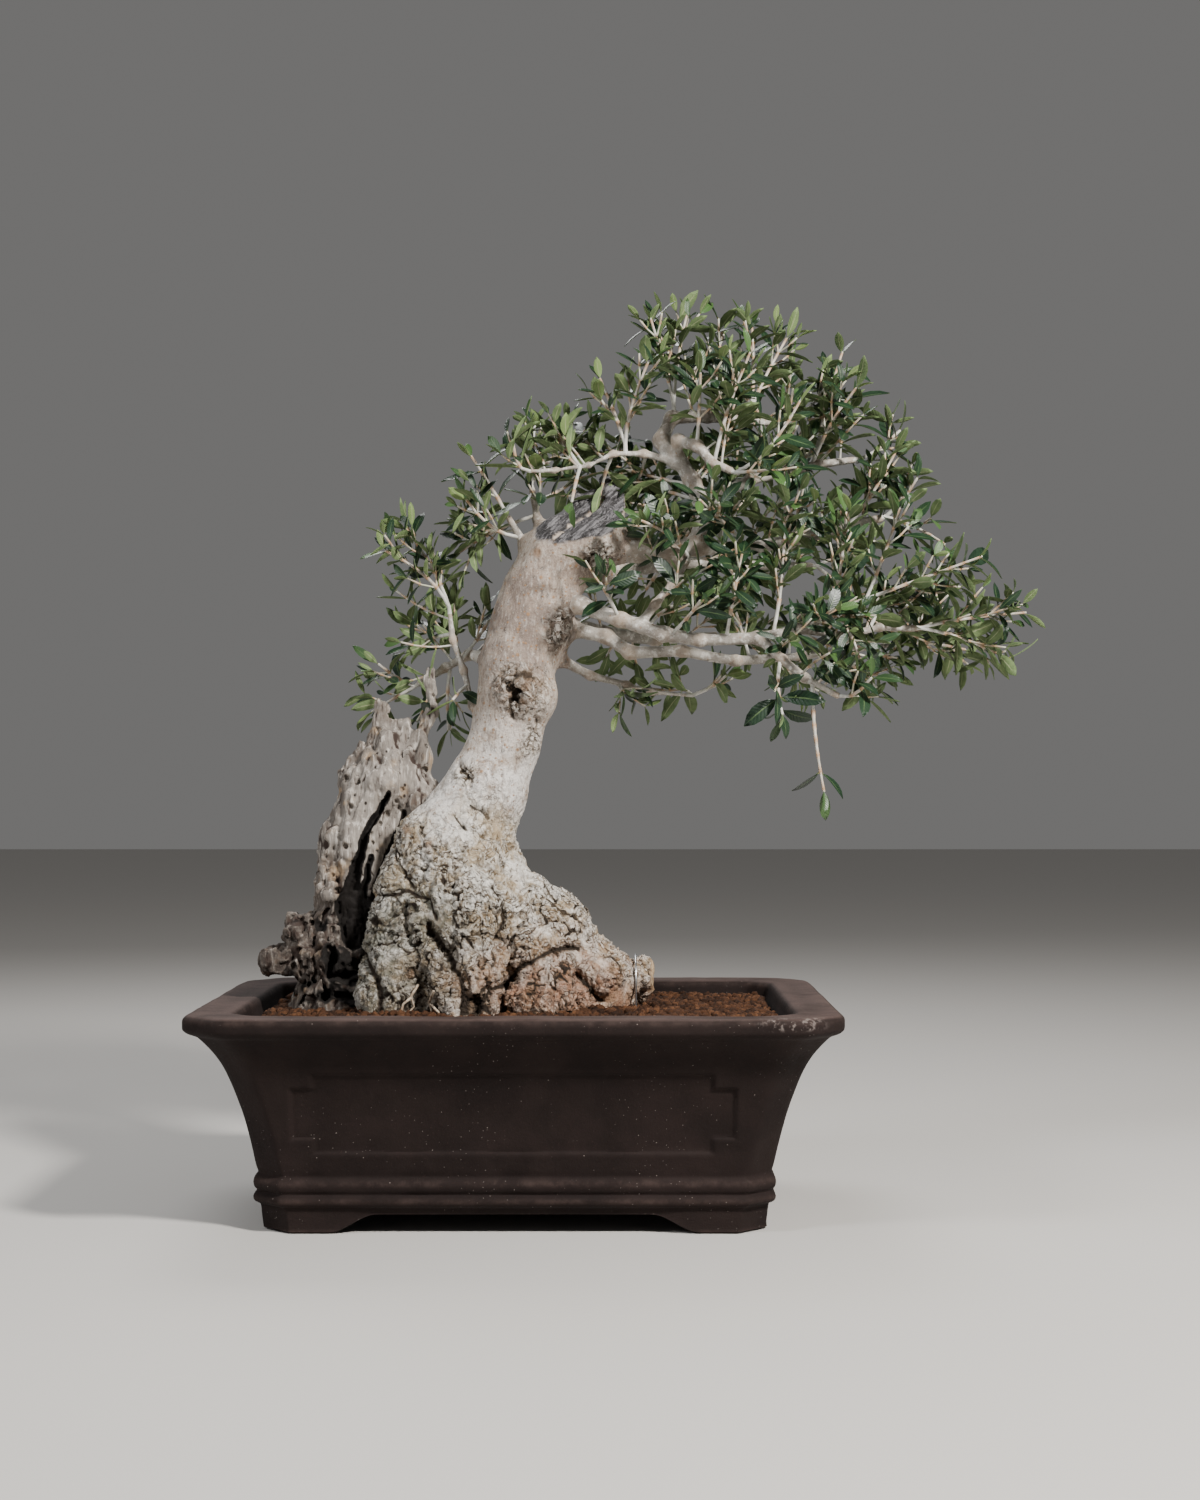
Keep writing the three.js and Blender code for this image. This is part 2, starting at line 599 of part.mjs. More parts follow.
function makeTrunk() {
  const belowFoot = box([-POT.halfLength, -POT.halfDepth, 0], [POT.halfLength, POT.halfDepth, FOOT_Z]);
  return surfaceOf(woodDistance, WOOD_GRID).subtract(belowFoot).subtract(aboveTopCut());
}

// Everything above the slanted saw cut.
function aboveTopCut() {
  const normal = vec(TOP_CUT.normal).normalize();
  const { reach } = TOP_CUT;
  const slab = new THREE.BoxGeometry(reach, reach, reach).translate(0, 0, reach / 2);
  slab.applyQuaternion(new THREE.Quaternion().setFromUnitVectors(UP, normal));
  return solidFromGeometry(slab.translate(...TOP_CUT.point));
}

function makeLimb(points) {
  const sides = points[0][3] > 6 ? 6 : 4;
  return tube(points.map(vec), points.map((point) => point[3]), sides);
}

// ---------------------------------------------------------------- leafy stems

// The point, direction and radius at a share of a limb's length.
function alongLimb(points, share) {
  const lengths = points.slice(1).map((point, index) => vec(point).distanceTo(vec(points[index])));
  let left = share * lengths.reduce((sum, length) => sum + length, 0);
  let leg = 0;
  while (leg < lengths.length - 1 && left > lengths[leg]) {
    left -= lengths[leg];
    leg += 1;
  }
  const t = Math.min(left / lengths[leg], 1);
  const [from, to] = [points[leg], points[leg + 1]];
  return {
    point: vec(from).lerp(vec(to), t),
    direction: vec(to).sub(vec(from)).normalize(),
    radius: mix(from[3], to[3], t),
  };
}

// Where a stem leaves its limb, and the way it starts out: from the limb's cut end, or from its side.
function stemSeat([limb, share, tips]) {
  const { point, direction, radius } = alongLimb(LIMBS[limb], share);
  if (share === 1) return { point, outward: direction, radius };
  const middle = tips.reduce((sum, tip) => sum.add(vec(tip)), new THREE.Vector3()).divideScalar(tips.length);
  const toward = middle.sub(point).normalize();
  const away = toward.clone().addScaledVector(direction, -toward.dot(direction)).normalize();
  const leaning = THREE.MathUtils.clamp(toward.dot(direction), -STEM.lean, STEM.lean);
  const outward = away.multiplyScalar(Math.sqrt(1 - leaning * leaning)).addScaledVector(direction, leaning);
  return { point, outward, radius: STEM.radius };
}

// Pieces that are already in place, each with the node it belongs to.
const neighbours = [];

function settle(node, kind, solid) {
  neighbours.push({ node, kind, solid, box: solid.boundingBox() });
}

function isClear(guard, counts) {
  const { min, max } = guard.boundingBox();
  const near = ({ box: other }) => [0, 1, 2].every(
    (axis) => min[axis] < other.max[axis] && max[axis] > other.min[axis],
  );
  return neighbours.filter(counts).filter(near).every(({ solid }) => guard.intersect(solid).isEmpty());
}

// The nearest place on the way out of the limb where the stem's flat foot is clear of the wood.
function seatedStart({ point, outward, radius }) {
  const isWood = ({ kind }) => kind === 'wood';
  for (let reach = 0; reach < STEM.seatReach; reach += STEM.seatStep) {
    const start = point.clone().addScaledVector(outward, reach);
    const end = start.clone().addScaledVector(outward, STEM.collar);
    const foot = tube([start, end], [radius, STEM.forkRadius], 4);
    if (isClear(foot, isWood)) return start.addScaledVector(outward, GAP);
  }
  throw new Error('a stem finds no way out of its limb');
}

// The pairs of leaves along a twig, each a quarter turn from the last. Only some of the buds have opened.
function leafPairs(curve, random) {
  const count = Math.max(3, Math.round(curve.getLength() / LEAF.spacing));
  const stride = Math.max(2, Math.round(count / LEAF.leafyPairs));
  const pairs = [];
  for (let pair = 1; pair <= count; pair += 1) {
    const leaves = [0, 1].map(() => ({
      swing: LEAF.swing * 2 * (random() - 0.5),
      splay: radians(mix(...(pair === count ? LEAF.tipSplay : LEAF.splay), random())),
      length: mix(...LEAF.length, random()),
      roll: radians(mix(-LEAF.roll, LEAF.roll, random())),
    }));
    const leafy = (count - pair) % stride === 0 && pair > 1;
    if (leafy) pairs.push({ share: mix(...LEAF.twigShares, pair / count), quarter: pair % 2, leaves });
  }
  return pairs;
}

// The square rings of a twig: its root, and one just below and one just above each pair of leaves.
function twigRings(root, outward, curve, firstTurn, pairs, rootRadius) {
  const half = LEAF.rootLength / 2 / curve.getLength();
  const shares = pairs.flatMap(({ share }) => [share - half, Math.min(share + half, 1)]);
  const rings = [{ centre: root, tangent: outward, radius: rootRadius }, ...shares.map((share) => ({
    centre: curve.getPoint(share),
    tangent: curve.getTangent(share),
    radius: mix(STEM.forkRadius, STEM.tipRadius, share),
  }))];
  const across = CROSSWISE.clone().cross(outward).normalize().applyAxisAngle(outward, firstTurn);
  return rings.map(({ centre, tangent, radius }) => {
    across.addScaledVector(tangent, -across.dot(tangent)).normalize();
    const other = tangent.clone().cross(across);
    const first = across.clone();
    const facing = (quarters) => first.clone().multiplyScalar(Math.cos(quarters * Math.PI / 2))
      .addScaledVector(other, Math.sin(quarters * Math.PI / 2));
    const corners = [0, 1, 2, 3].map((side) => centre.clone().addScaledVector(facing(side - 0.5), radius));
    return { centre, tangent, radius, facing, corners };
  });
}

// One leaf of a pair: where it is rooted, which way it grows and which way its upper face looks.
function placeLeaf(ring, side, { swing, splay, length, roll }) {
  const around = ring.facing(side + 2 * swing / Math.PI);
  const along = ring.tangent.clone().multiplyScalar(Math.cos(splay))
    .addScaledVector(around, Math.sin(splay))
    .addScaledVector(UP, LEAF.lift)
    .normalize();
  const face = ring.tangent.clone().multiplyScalar(0.5).addScaledVector(UP, 0.85);
  const normal = face.addScaledVector(along, -face.dot(along)).normalize().applyAxisAngle(along, roll);
  const root = ring.centre.clone().addScaledVector(along, ring.radius * 0.6);
  return { root, along, across: normal.clone().cross(along), normal, length };
}

// A point on a leaf, by share of its length and of its half width, on its upper (1) or lower (-1) face.
function leafPoint({ root, along, across, normal, length }, [share, width], face, grow = 0) {
  const halfWidth = LEAF.widthShare * length / 2 + grow;
  return root.clone()
    .addScaledVector(along, (length + grow) * share)
    .addScaledVector(across, halfWidth * width)
    .addScaledVector(normal, face * (LEAF.thickness / 2 + grow) - LEAF.arch * length * share * share);
}

// The outline of a leaf as a prism, larger than the leaf by grow, for the clearance tests.
function leafGuard(leaf, start, grow) {
  const [[first, wide], [second, narrow]] = LEAF.stations;
  const side = [[start, 0.5], [first, wide + 0.04], [second, narrow + 0.02], [1, 0.05]];
  const outline = [...side.map(([share, width]) => [share, -width]), ...side.reverse()];
  return loft([-1, 1].map((face) => outline.map((spot) => leafPoint(leaf, spot, face, grow).toArray())));
}

// The leaves of one stem may touch only near their roots, before this share of their length.
const BLADE_START = 0.25;

// Turns a leaf by a little more each time until it is clear of the other stems and of its own stem's blades.
function clearLeaf(name, ring, side, draw) {
  for (let attempt = 0; attempt < LEAF.attempts; attempt += 1) {
    const leaf = placeLeaf(ring, side, {
      swing: draw.swing + 0.12 * attempt * (attempt % 2 ? 1 : -1),
      splay: draw.splay * (1 - 0.05 * attempt),
      length: draw.length,
      roll: draw.roll + 0.2 * attempt,
    });
    const isOther = ({ node }) => node !== name;
    const isOwn = ({ node, kind }) => node === name && kind !== 'leaf';
    if (isClear(leafGuard(leaf, 0.05, CLEARANCE), isOther)
      && isClear(leafGuard(leaf, BLADE_START, CLEARANCE / 2), isOwn)) {
      settle(name, 'leaf', leafGuard(leaf, 0, 0));
      settle(name, 'blade', leafGuard(leaf, BLADE_START, 0));
      return leaf;
    }
  }
  return null;
}

// Splits a bent four-sided face along the diagonal that bulges outwards, so that a thin blade stays open.
function outwardHalves([a, b, c, d], vertices) {
  const [toB, toC, toD] = [b, c, d].map((corner) => vec(vertices[corner]).sub(vec(vertices[a])));
  const bulges = toB.cross(toC).dot(toD) <= 1e-6;
  return bulges ? [[a, b, c], [a, c, d]] : [[a, b, d], [b, c, d]];
}

// A leaf grows out of one side face of the twig, from its four corners over two wide stations to the tip.
function leafFaces(leaf, faceCorners, vertices) {
  const around = [[1, 1], [-1, 1], [-1, -1], [1, -1]];
  const stations = LEAF.stations.map(([share, width]) => around.map(
    ([side, face]) => leafPoint(leaf, [share, side * width], face),
  ));
  const spanTo = (shift) => faceCorners.reduce(
    (sum, corner, index) => sum + vec(vertices[corner]).distanceTo(stations[0][(index + shift) % 4]),
    0,
  );
  const shift = [0, 1, 2, 3].reduce((best, other) => (spanTo(other) < spanTo(best) ? other : best));
  let ring = faceCorners;
  const triangles = [];
  stations.forEach((station) => {
    const first = vertices.length;
    station.forEach((_, index) => vertices.push(station[(index + shift) % 4].toArray()));
    for (let index = 0; index < 4; index += 1) {
      const next = (index + 1) % 4;
      triangles.push(...outwardHalves([ring[index], ring[next], first + next, first + index], vertices));
    }
    ring = [first, first + 1, first + 2, first + 3];
  });
  const tip = vertices.length;
  vertices.push(leafPoint(leaf, [1, 0], 1).toArray(), leafPoint(leaf, [1, 0], -1).toArray());
  // The upper two corners of the last station run to the upper tip point, the lower two to the lower one.
  const tipOf = ring.map((_, index) => ((index + shift) % 4 < 2 ? tip : tip + 1));
  for (let index = 0; index < 4; index += 1) {
    const next = (index + 1) % 4;
    triangles.push([ring[index], ring[next], tipOf[next]]);
    if (tipOf[index] !== tipOf[next]) triangles.push([ring[index], tipOf[next], tipOf[index]]);
  }
  return triangles;
}

// The twig and its leaves in one closed skin.
function leafyTwig(name, rings, pairs) {
  const vertices = rings.flatMap((ring) => ring.corners.map((corner) => corner.toArray()));
  const triangles = [];
  for (let level = 0; level + 1 < rings.length; level += 1) {
    const pair = level % 2 === 1 ? pairs[(level - 1) / 2] : null;
    for (let side = 0; side < 4; side += 1) {
      const corner = (ring, step) => (level + ring) * 4 + (side + step) % 4;
      const face = [corner(0, 0), corner(0, 1), corner(1, 1), corner(1, 0)];
      const draw = pair && side % 2 === pair.quarter ? pair.leaves[side >> 1] : null;
      const leaf = draw && clearLeaf(name, rings[level], side, draw);
      if (leaf) triangles.push(...leafFaces(leaf, face, vertices));
      else triangles.push([face[0], face[1], face[2]], [face[0], face[2], face[3]]);
    }
  }
  const last = (rings.length - 1) * 4;
  triangles.push([0, 3, 2], [0, 2, 1], [last, last + 1, last + 2], [last, last + 2, last + 3]);
  return solidFromArrays(vertices, triangles);
}

// Twigs are laid out before any leaf, so that the leaves can keep clear of all of them.
function layOutStem(name, row, firstSeed) {
  const tips = row[2];
  const forked = tips.length > 1;
  const seat = stemSeat(row);
  const start = seatedStart(seat);
  const fork = forked ? start.clone().addScaledVector(seat.outward, STEM.collar) : start;
  const collarTip = fork.clone().addScaledVector(seat.outward, 1);
  const collar = forked ? [tube([start, collarTip], [seat.radius, STEM.forkRadius], 4)] : [];
  const twigs = tips.map((tip, number) => {
    const random = randomStream(firstSeed + 97 * number);
    const firstTurn = Math.PI * random();
    const reach = fork.distanceTo(vec(tip));
    const toTip = vec(tip).sub(fork).normalize();
    const heading = forked ? toTip.addScaledVector(seat.outward, 0.5).normalize() : seat.outward;
    const sway = new THREE.Vector3(random() - 0.5, random() - 0.5, random() - 0.3);
    const control = fork.clone()
      .addScaledVector(heading, 0.4 * reach)
      .addScaledVector(sway, STEM.sway * reach);
    const curve = new THREE.QuadraticBezierCurve3(fork, control, vec(tip));
    const pairs = leafPairs(curve, randomStream(firstSeed + 97 * number + 11));
    const rings = twigRings(fork, heading, curve, firstTurn, pairs, forked ? STEM.forkRadius : seat.radius);
    settleTwig(name, rings);
    return { rings, pairs };
  });
  return { name, collar, twigs };
}

// A guard half as thick again as the twig, all but its foot, is clear of the limbs and of the other stems.
function settleTwig(name, rings) {
  const skin = (grow) => loft(rings.map(({ centre, corners }, index) => corners.map(
    (corner) => centre.clone().lerp(corner, index ? 1 + grow : 1).toArray(),
  )));
  if (!isClear(skin(0.5), ({ node }) => node !== name)) throw new Error(`move a tip of ${name}`);
  settle(name, 'twig', skin(0));
}

function growStem({ name, collar, twigs }) {
  return joined([...collar, ...twigs.map(({ rings, pairs }) => leafyTwig(name, rings, pairs))]);
}

// ---------------------------------------------------------------- soil and anchor wire

// The wire's arch follows the section of the root stub at WIRE.x, and its legs drop into the soil.
function wirePath() {
  const middle = new THREE.Vector3(WIRE.x, WIRE.middleY, WIRE.middleZ);
  const arch = Array.from({ length: WIRE.steps }, (_, step) => {
    const turn = radians(mix(-WIRE.spread, WIRE.spread, step / (WIRE.steps - 1)));
    const outward = new THREE.Vector3(0, Math.sin(turn), Math.cos(turn));
    const spot = (reach) => middle.clone().addScaledVector(outward, reach);
    let reach = WIRE.radius;
    while (woodDistance(spot(reach).toArray()) < WIRE.clearance) reach += 0.2;
    return spot(reach);
  });
  const leg = (y) => [WIRE.kneeZ, WIRE.legBottom].map((z) => new THREE.Vector3(WIRE.x, y, z));
  const [front, back] = [leg(arch[0].y - 1), leg(arch[arch.length - 1].y + 1)];
  return [...front.reverse(), ...arch, ...back];
}

function makeWire(extraRadius) {
  const path = wirePath();
  return tube(path, path.map(() => WIRE.radius + extraRadius), 5);
}

function soilHeight(x, y) {
  const edgeShare = Math.max(Math.abs(x) / SOIL.halfLength, Math.abs(y) / SOIL.halfDepth);
  return mix(SOIL.crown, SOIL.edge, edgeShare ** 2) + SOIL.relief * noise(x / SOIL.wave, y / SOIL.wave, 3);
}

// The outline of the wood where it stands in the soil, with some room, seen from above.
function footOutline() {
  const { centre, points, room, furthest } = FOOT_HOLE;
  const spot = (turn, reach) => [centre[0] + reach * Math.cos(turn), centre[1] + reach * Math.sin(turn)];
  const isOutside = ([x, y]) => [-GAP, 8, 16].every((rise) => woodDistance([x, y, FOOT_Z + rise]) > room);
  const reachAt = (turn) => {
    let reach = furthest;
    while (isOutside(spot(turn, reach))) reach -= 1;
    return reach;
  };
  return Array.from({ length: points }, (_, point) => {
    const turnOf = (part) => 2 * Math.PI * (point + part) / points;
    return spot(turnOf(0), Math.max(...[-0.5, -0.25, 0, 0.25, 0.5].map((part) => reachAt(turnOf(part)))));
  });
}

function makeSoil() {
  const { cell, columns, rows } = SOIL;
  const underside = POT.floorTop - OVERRUN;
  const spot = (column, row) => [(column - columns / 2) * cell, (row - rows / 2) * cell];
  const vertices = [];
  const triangles = [];
  for (let row = 0; row <= rows; row += 1) {
    for (let column = 0; column <= columns; column += 1) {
      const [x, y] = spot(column, row);
      vertices.push([x, y, soilHeight(x, y)]);
    }
  }
  const at = (column, row) => row * (columns + 1) + column;
  for (let row = 0; row < rows; row += 1) {
    for (let column = 0; column < columns; column += 1) {
      const [a, b] = [at(column, row), at(column + 1, row)];
      const [c, d] = [at(column + 1, row + 1), at(column, row + 1)];
      triangles.push([a, b, c], [a, c, d]);
    }
  }
  const rim = [];
  for (let column = 0; column < columns; column += 1) rim.push(at(column, 0));
  for (let row = 0; row < rows; row += 1) rim.push(at(columns, row));
  for (let column = columns; column > 0; column -= 1) rim.push(at(column, rows));
  for (let row = rows; row > 0; row -= 1) rim.push(at(0, row));
  const foot = vertices.length;
  rim.forEach((index) => vertices.push([vertices[index][0], vertices[index][1], underside]));
  const centre = vertices.length;
  vertices.push([0, 0, underside]);
  rim.forEach((index, step) => {
    const next = (step + 1) % rim.length;
    triangles.push([index, foot + step, foot + next], [index, foot + next, rim[next]]);
    triangles.push([centre, foot + next, foot + step]);
  });
  const ground = solidFromArrays(vertices, triangles);

  const footHole = loft([FOOT_Z - GAP, FOOT_HOLE.top].map((z) => footOutline().map(([x, y]) => [x, y, z])));
  const meshSeats = [-1, 1].map((side) => {
    const half = DRAIN_MESH.size / 2 + GAP;
    const x = side * POT.drainHoleX;
    return box([x - half, -half, 0], [x + half, half, POT.floorTop + 2 * GAP + DRAIN_MESH.thickness]);
  });
  const filled = ground.intersect(soilHollow(GAP)).subtract(joined([footHole, makeWire(GAP), ...meshSeats]));
  return filled.decompose().sort((a, b) => b.volume() - a.volume())[0];
}

// ---------------------------------------------------------------- the whole bonsai

const tree = new THREE.Group();

function addPiece(name, solid, finish) {
  const mesh = new THREE.Mesh(geometryFromSolid(solid), new THREE.MeshStandardMaterial(finish));
  mesh.name = name;
  tree.add(mesh);
}

const stems = LEAFY_STEMS.map((row, index) => {
  const numberOnLimb = LEAFY_STEMS.slice(0, index + 1).filter(([limb]) => limb === row[0]).length;
  return { name: `leafy_stem_${row[0]}_${numberOnLimb}`, row, seed: SEED + 1009 * index };
});
const wood = joined([makeTrunk(), ...Object.values(LIMBS).map(makeLimb)]);
settle('olive_tree_wood', 'wood', wood);
const laidOut = stems.map(({ name, row, seed }) => layOutStem(name, row, seed));

const leafFinish = { color: 0x47702f, roughness: 0.45, metalness: 0 };
const meshFinish = { color: 0x22262a, roughness: 0.6, metalness: 0 };

addPiece('pot', makePot(), { color: 0x3b2c28, roughness: 0.85, metalness: 0 });
addPiece('drain_mesh_left', makeDrainMesh(-POT.drainHoleX), meshFinish);
addPiece('drain_mesh_right', makeDrainMesh(POT.drainHoleX), meshFinish);
addPiece('soil', makeSoil(), { color: 0x6d3c22, roughness: 1, metalness: 0 });
addPiece('olive_tree_wood', wood, { color: 0xc9baa6, roughness: 0.9, metalness: 0 });
addPiece('anchor_wire', makeWire(0), { color: 0xaab0b4, roughness: 0.35, metalness: 1 });
laidOut.forEach((stem) => addPiece(stem.name, growStem(stem), leafFinish));

// The origin is under the middle of the bounding box, on the surface that the pot stands on.
const bounds = new THREE.Box3().setFromObject(tree);
tree.position.set(-(bounds.min.x + bounds.max.x) / 2, -(bounds.min.y + bounds.max.y) / 2, -bounds.min.z);

const part = new THREE.Group();
part.add(tree);
export default part;
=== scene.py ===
"""Olive bonsai in an unglazed stoneware pot: the pieces that are seen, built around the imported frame."""
import functools
import itertools
import json
import math

import bmesh
import bpy
import numpy as np
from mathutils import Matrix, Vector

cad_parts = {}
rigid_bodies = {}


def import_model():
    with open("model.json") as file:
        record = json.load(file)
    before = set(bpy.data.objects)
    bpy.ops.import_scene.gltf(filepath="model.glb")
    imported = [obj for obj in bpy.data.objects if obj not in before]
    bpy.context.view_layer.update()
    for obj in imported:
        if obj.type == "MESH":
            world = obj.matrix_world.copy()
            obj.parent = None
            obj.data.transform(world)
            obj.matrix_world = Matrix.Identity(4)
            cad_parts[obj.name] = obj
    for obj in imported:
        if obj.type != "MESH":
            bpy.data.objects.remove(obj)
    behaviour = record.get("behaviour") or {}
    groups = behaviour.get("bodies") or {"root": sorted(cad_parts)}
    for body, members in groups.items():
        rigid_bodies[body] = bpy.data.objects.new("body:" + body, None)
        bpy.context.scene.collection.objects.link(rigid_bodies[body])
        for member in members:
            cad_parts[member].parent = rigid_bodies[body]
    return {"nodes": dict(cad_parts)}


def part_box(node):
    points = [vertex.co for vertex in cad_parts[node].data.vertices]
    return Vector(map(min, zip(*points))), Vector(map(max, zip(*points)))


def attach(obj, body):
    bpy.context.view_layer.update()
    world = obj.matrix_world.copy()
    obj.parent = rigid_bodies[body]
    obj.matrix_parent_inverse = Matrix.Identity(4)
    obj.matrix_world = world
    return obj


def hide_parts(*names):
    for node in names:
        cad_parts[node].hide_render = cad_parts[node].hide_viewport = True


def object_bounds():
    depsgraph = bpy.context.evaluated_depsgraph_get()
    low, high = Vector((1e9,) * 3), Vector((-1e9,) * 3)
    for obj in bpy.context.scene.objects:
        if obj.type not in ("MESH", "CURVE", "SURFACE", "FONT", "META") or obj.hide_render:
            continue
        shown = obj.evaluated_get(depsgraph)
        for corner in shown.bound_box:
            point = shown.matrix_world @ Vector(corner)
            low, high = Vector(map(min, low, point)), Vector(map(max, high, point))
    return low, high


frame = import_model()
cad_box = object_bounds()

import openvdb
from mathutils import Matrix, Vector

# ---------------------------------------------------------------- pot
# One thick piece of unglazed dark-brown stoneware, pressed into a mould and finished by hand: a broad flat rim
# with a rounded lip, a flared body with a shallow notched panel on each side, two bands and four corner feet.
# It is fired once, so its edges are soft, its faces are never quite flat, and pale grains show in the clay.

pot_low, pot_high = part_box("pot")
POT_MIDDLE = np.array([(pot_low.x + pot_high.x) / 2, (pot_low.y + pot_high.y) / 2, 0])
MM = 0.001               # sizes are in millimetres round the middle of the pot until a mesh is made

POT_HALF_LENGTH, POT_HALF_DEPTH = 225, 175
POT_DEPTH_SHARE = 0.9    # the front leans in a little less than the ends
# Height, lean-in from the rim's end and corner cut: from the underside over the foot and the wall to the lip,
POT_OUTSIDE = [
    (18, 74, 20), (17.5, 68, 20), (0.6, 67, 20), (0, 64, 20), (0, 54, 20), (1.2, 52, 20), (18, 50, 20),
    (19.5, 46.3, 20), (22.5, 45, 20), (25.5, 45.8, 20), (27, 47.8, 20), (29, 45.8, 20), (33, 45, 20),
    (37, 46, 20), (38.5, 48, 20), (60, 43.5, 20), (82, 38, 20), (104.5, 30, 20.7), (114, 26, 22.2),
    (124.5, 19, 24), (134.5, 9.5, 25.6), (137, 3.4, 26.2), (139.5, 0.6, 26.6), (147.5, 0.4, 27.8),
    (150, 3.4, 27.6),
]
# and from there over the flat rim and down the inside to the floor.
POT_INSIDE = [
    (149.9, 8, 26), (149.4, 20, 22), (149.8, 30, 18), (149.2, 33.6, 16), (146.5, 34.8, 16), (140, 35.5, 16),
    (124, 40, 16), (80, 53, 16), (34, 64.5, 16), (32, 68, 16),
]
POT_ARCHES = {"front": 126, "side": 92, "slope": 33, "rise": 13}
PANEL = {"bottom": 55, "top": 111, "front": 150, "side": 98, "notch_length": 15, "notch_height": 10,
         "depth": 1.8, "edge": 1.5, "groove": 0.5}
DRAIN_HOLE_X, DRAIN_HOLE_RADIUS = 90, 11


def add_object(name, data):
    added = bpy.data.objects.new(name, data)
    bpy.context.collection.objects.link(added)
    return added


def placed(spot):
    """A spot in millimetres round the pot's middle as a place in the scene."""
    return Vector(POT_MIDDLE) + Vector(spot) * MM


def as_mesh(shape, mesh):
    """Writes a shape that is being built into a mesh, and ends the building."""
    shape.to_mesh(mesh)
    shape.free()
    return mesh


def evaluated(piece):
    return bpy.data.meshes.new_from_object(piece.evaluated_get(bpy.context.evaluated_depsgraph_get()))


def make_piece(name, points, *face_groups):
    """A smooth-shaded object from points in millimetres and arrays of faces with equal corners."""
    mesh = bpy.data.meshes.new(name)
    groups = [np.asarray(group, dtype=np.int32) for group in face_groups]
    corners = np.concatenate([group.ravel() for group in groups])
    sizes = np.concatenate([np.full(len(group), group.shape[1]) for group in groups])
    mesh.vertices.add(len(points))
    mesh.vertices.foreach_set("co", (np.asarray(points, dtype=float) * MM + POT_MIDDLE).ravel())
    mesh.loops.add(len(corners))
    mesh.loops.foreach_set("vertex_index", corners)
    mesh.polygons.add(len(sizes))
    mesh.polygons.foreach_set("loop_start", np.concatenate([[0], np.cumsum(sizes)[:-1]]).astype(np.int32))
    mesh.polygons.foreach_set("use_smooth", np.ones(len(sizes), dtype=bool))
    mesh.update(calc_edges=True)
    return add_object(name, mesh)


def lattice_value(i, j, k):
    wave = np.sin(i * 127.1 + j * 311.7 + k * 74.7) * 43758.5453
    return 2 * (wave - np.floor(wave)) - 1


def noise(points, wave, shift=0.0):
    """Smooth noise from -1 to 1. The wave is one length, or one for each axis."""
    scaled = np.asarray(points) / wave + np.array([0, 0, shift])
    cell = np.floor(scaled)
    ease = scaled - cell
    ease = ease * ease * (3 - 2 * ease)
    total = 0
    for step in itertools.product((0, 1), repeat=3):
        weight = np.prod([ease[:, axis] if up else 1 - ease[:, axis] for axis, up in enumerate(step)], axis=0)
        total = total + weight * lattice_value(cell[:, 0] + step[0], cell[:, 1] + step[1], cell[:, 2] + step[2])
    return total


def smooth_step(low, high, value):
    share = np.clip((value - low) / (high - low), 0, 1)
    return share * share * (3 - 2 * share)


def bell(value, width, power=2):
    """1 where the value is 0, falling to almost 0 beyond the width."""
    return np.exp(-(value / width) ** power)


def pot_profile():
    """Rows of height, lean-in along x and along y, and corner, close together where the form is fine."""
    rows = np.array(POT_OUTSIDE + POT_INSIDE, dtype=float)
    share = np.ones(len(rows))
    share[:len(POT_OUTSIDE)] = POT_DEPTH_SHARE
    rows = np.column_stack([rows[:, 0], rows[:, 1], rows[:, 1] * share, rows[:, 2]])
    lengths = np.concatenate([[0], np.cumsum(np.hypot(*np.diff(rows[:, :2], axis=0).T))])
    fine = np.arange(0, lengths[-1], 0.5)
    rows = np.column_stack([np.interp(fine, lengths, column) for column in rows.T])
    outside = fine < lengths[len(POT_OUTSIDE) - 1]
    wall = outside & (rows[:, 0] > 43) & (rows[:, 0] < 132)
    for passes, where in ((300, wall), (8, np.ones(len(rows), dtype=bool))):
        for _ in range(passes):
            middle = (rows[:-2] + 2 * rows[1:-1] + rows[2:]) / 4
            rows[1:-1] = np.where(where[1:-1, None], middle, rows[1:-1])
    height = rows[:, 0]
    to_panel_edge = np.abs(height[:, None] - [PANEL["bottom"], PANEL["bottom"] + PANEL["notch_height"],
                                              PANEL["top"] - PANEL["notch_height"], PANEL["top"]]).min(axis=1)
    spacing = np.where(outside & (height > 17) & (height < 41), 1.1, 3.4)
    spacing = np.where(outside & (height > 134), 1.2, spacing)
    spacing = np.where(outside & (to_panel_edge < 2), 0.7, spacing)
    spacing = np.where(~outside & (height < 136), 12, spacing)
    count = np.cumsum(0.5 / spacing)
    return np.column_stack([np.interp(np.arange(count[0], count[-1]), count, column) for column in rows.T])


def side_places(end, panel_end):
    """Places from one end of a side to the other, close together at the panel's edges and at the corners."""
    fine = np.array([-1.4, -0.7, 0, 0.7, 1.4])
    notch = panel_end - PANEL["notch_length"]
    inner = np.concatenate([np.linspace(0, notch - 4, int(notch / 4)), notch + fine,
                            notch + np.array([4.5, 7.5, 10.5]), panel_end + fine])
    inner *= min(1, end / (inner[-1] + 2))
    half = np.concatenate([inner, inner[-1] + (end - inner[-1]) * np.array([0.2, 0.45, 0.66, 0.82, 0.92, 1])])
    return np.concatenate([-half[:0:-1], half])


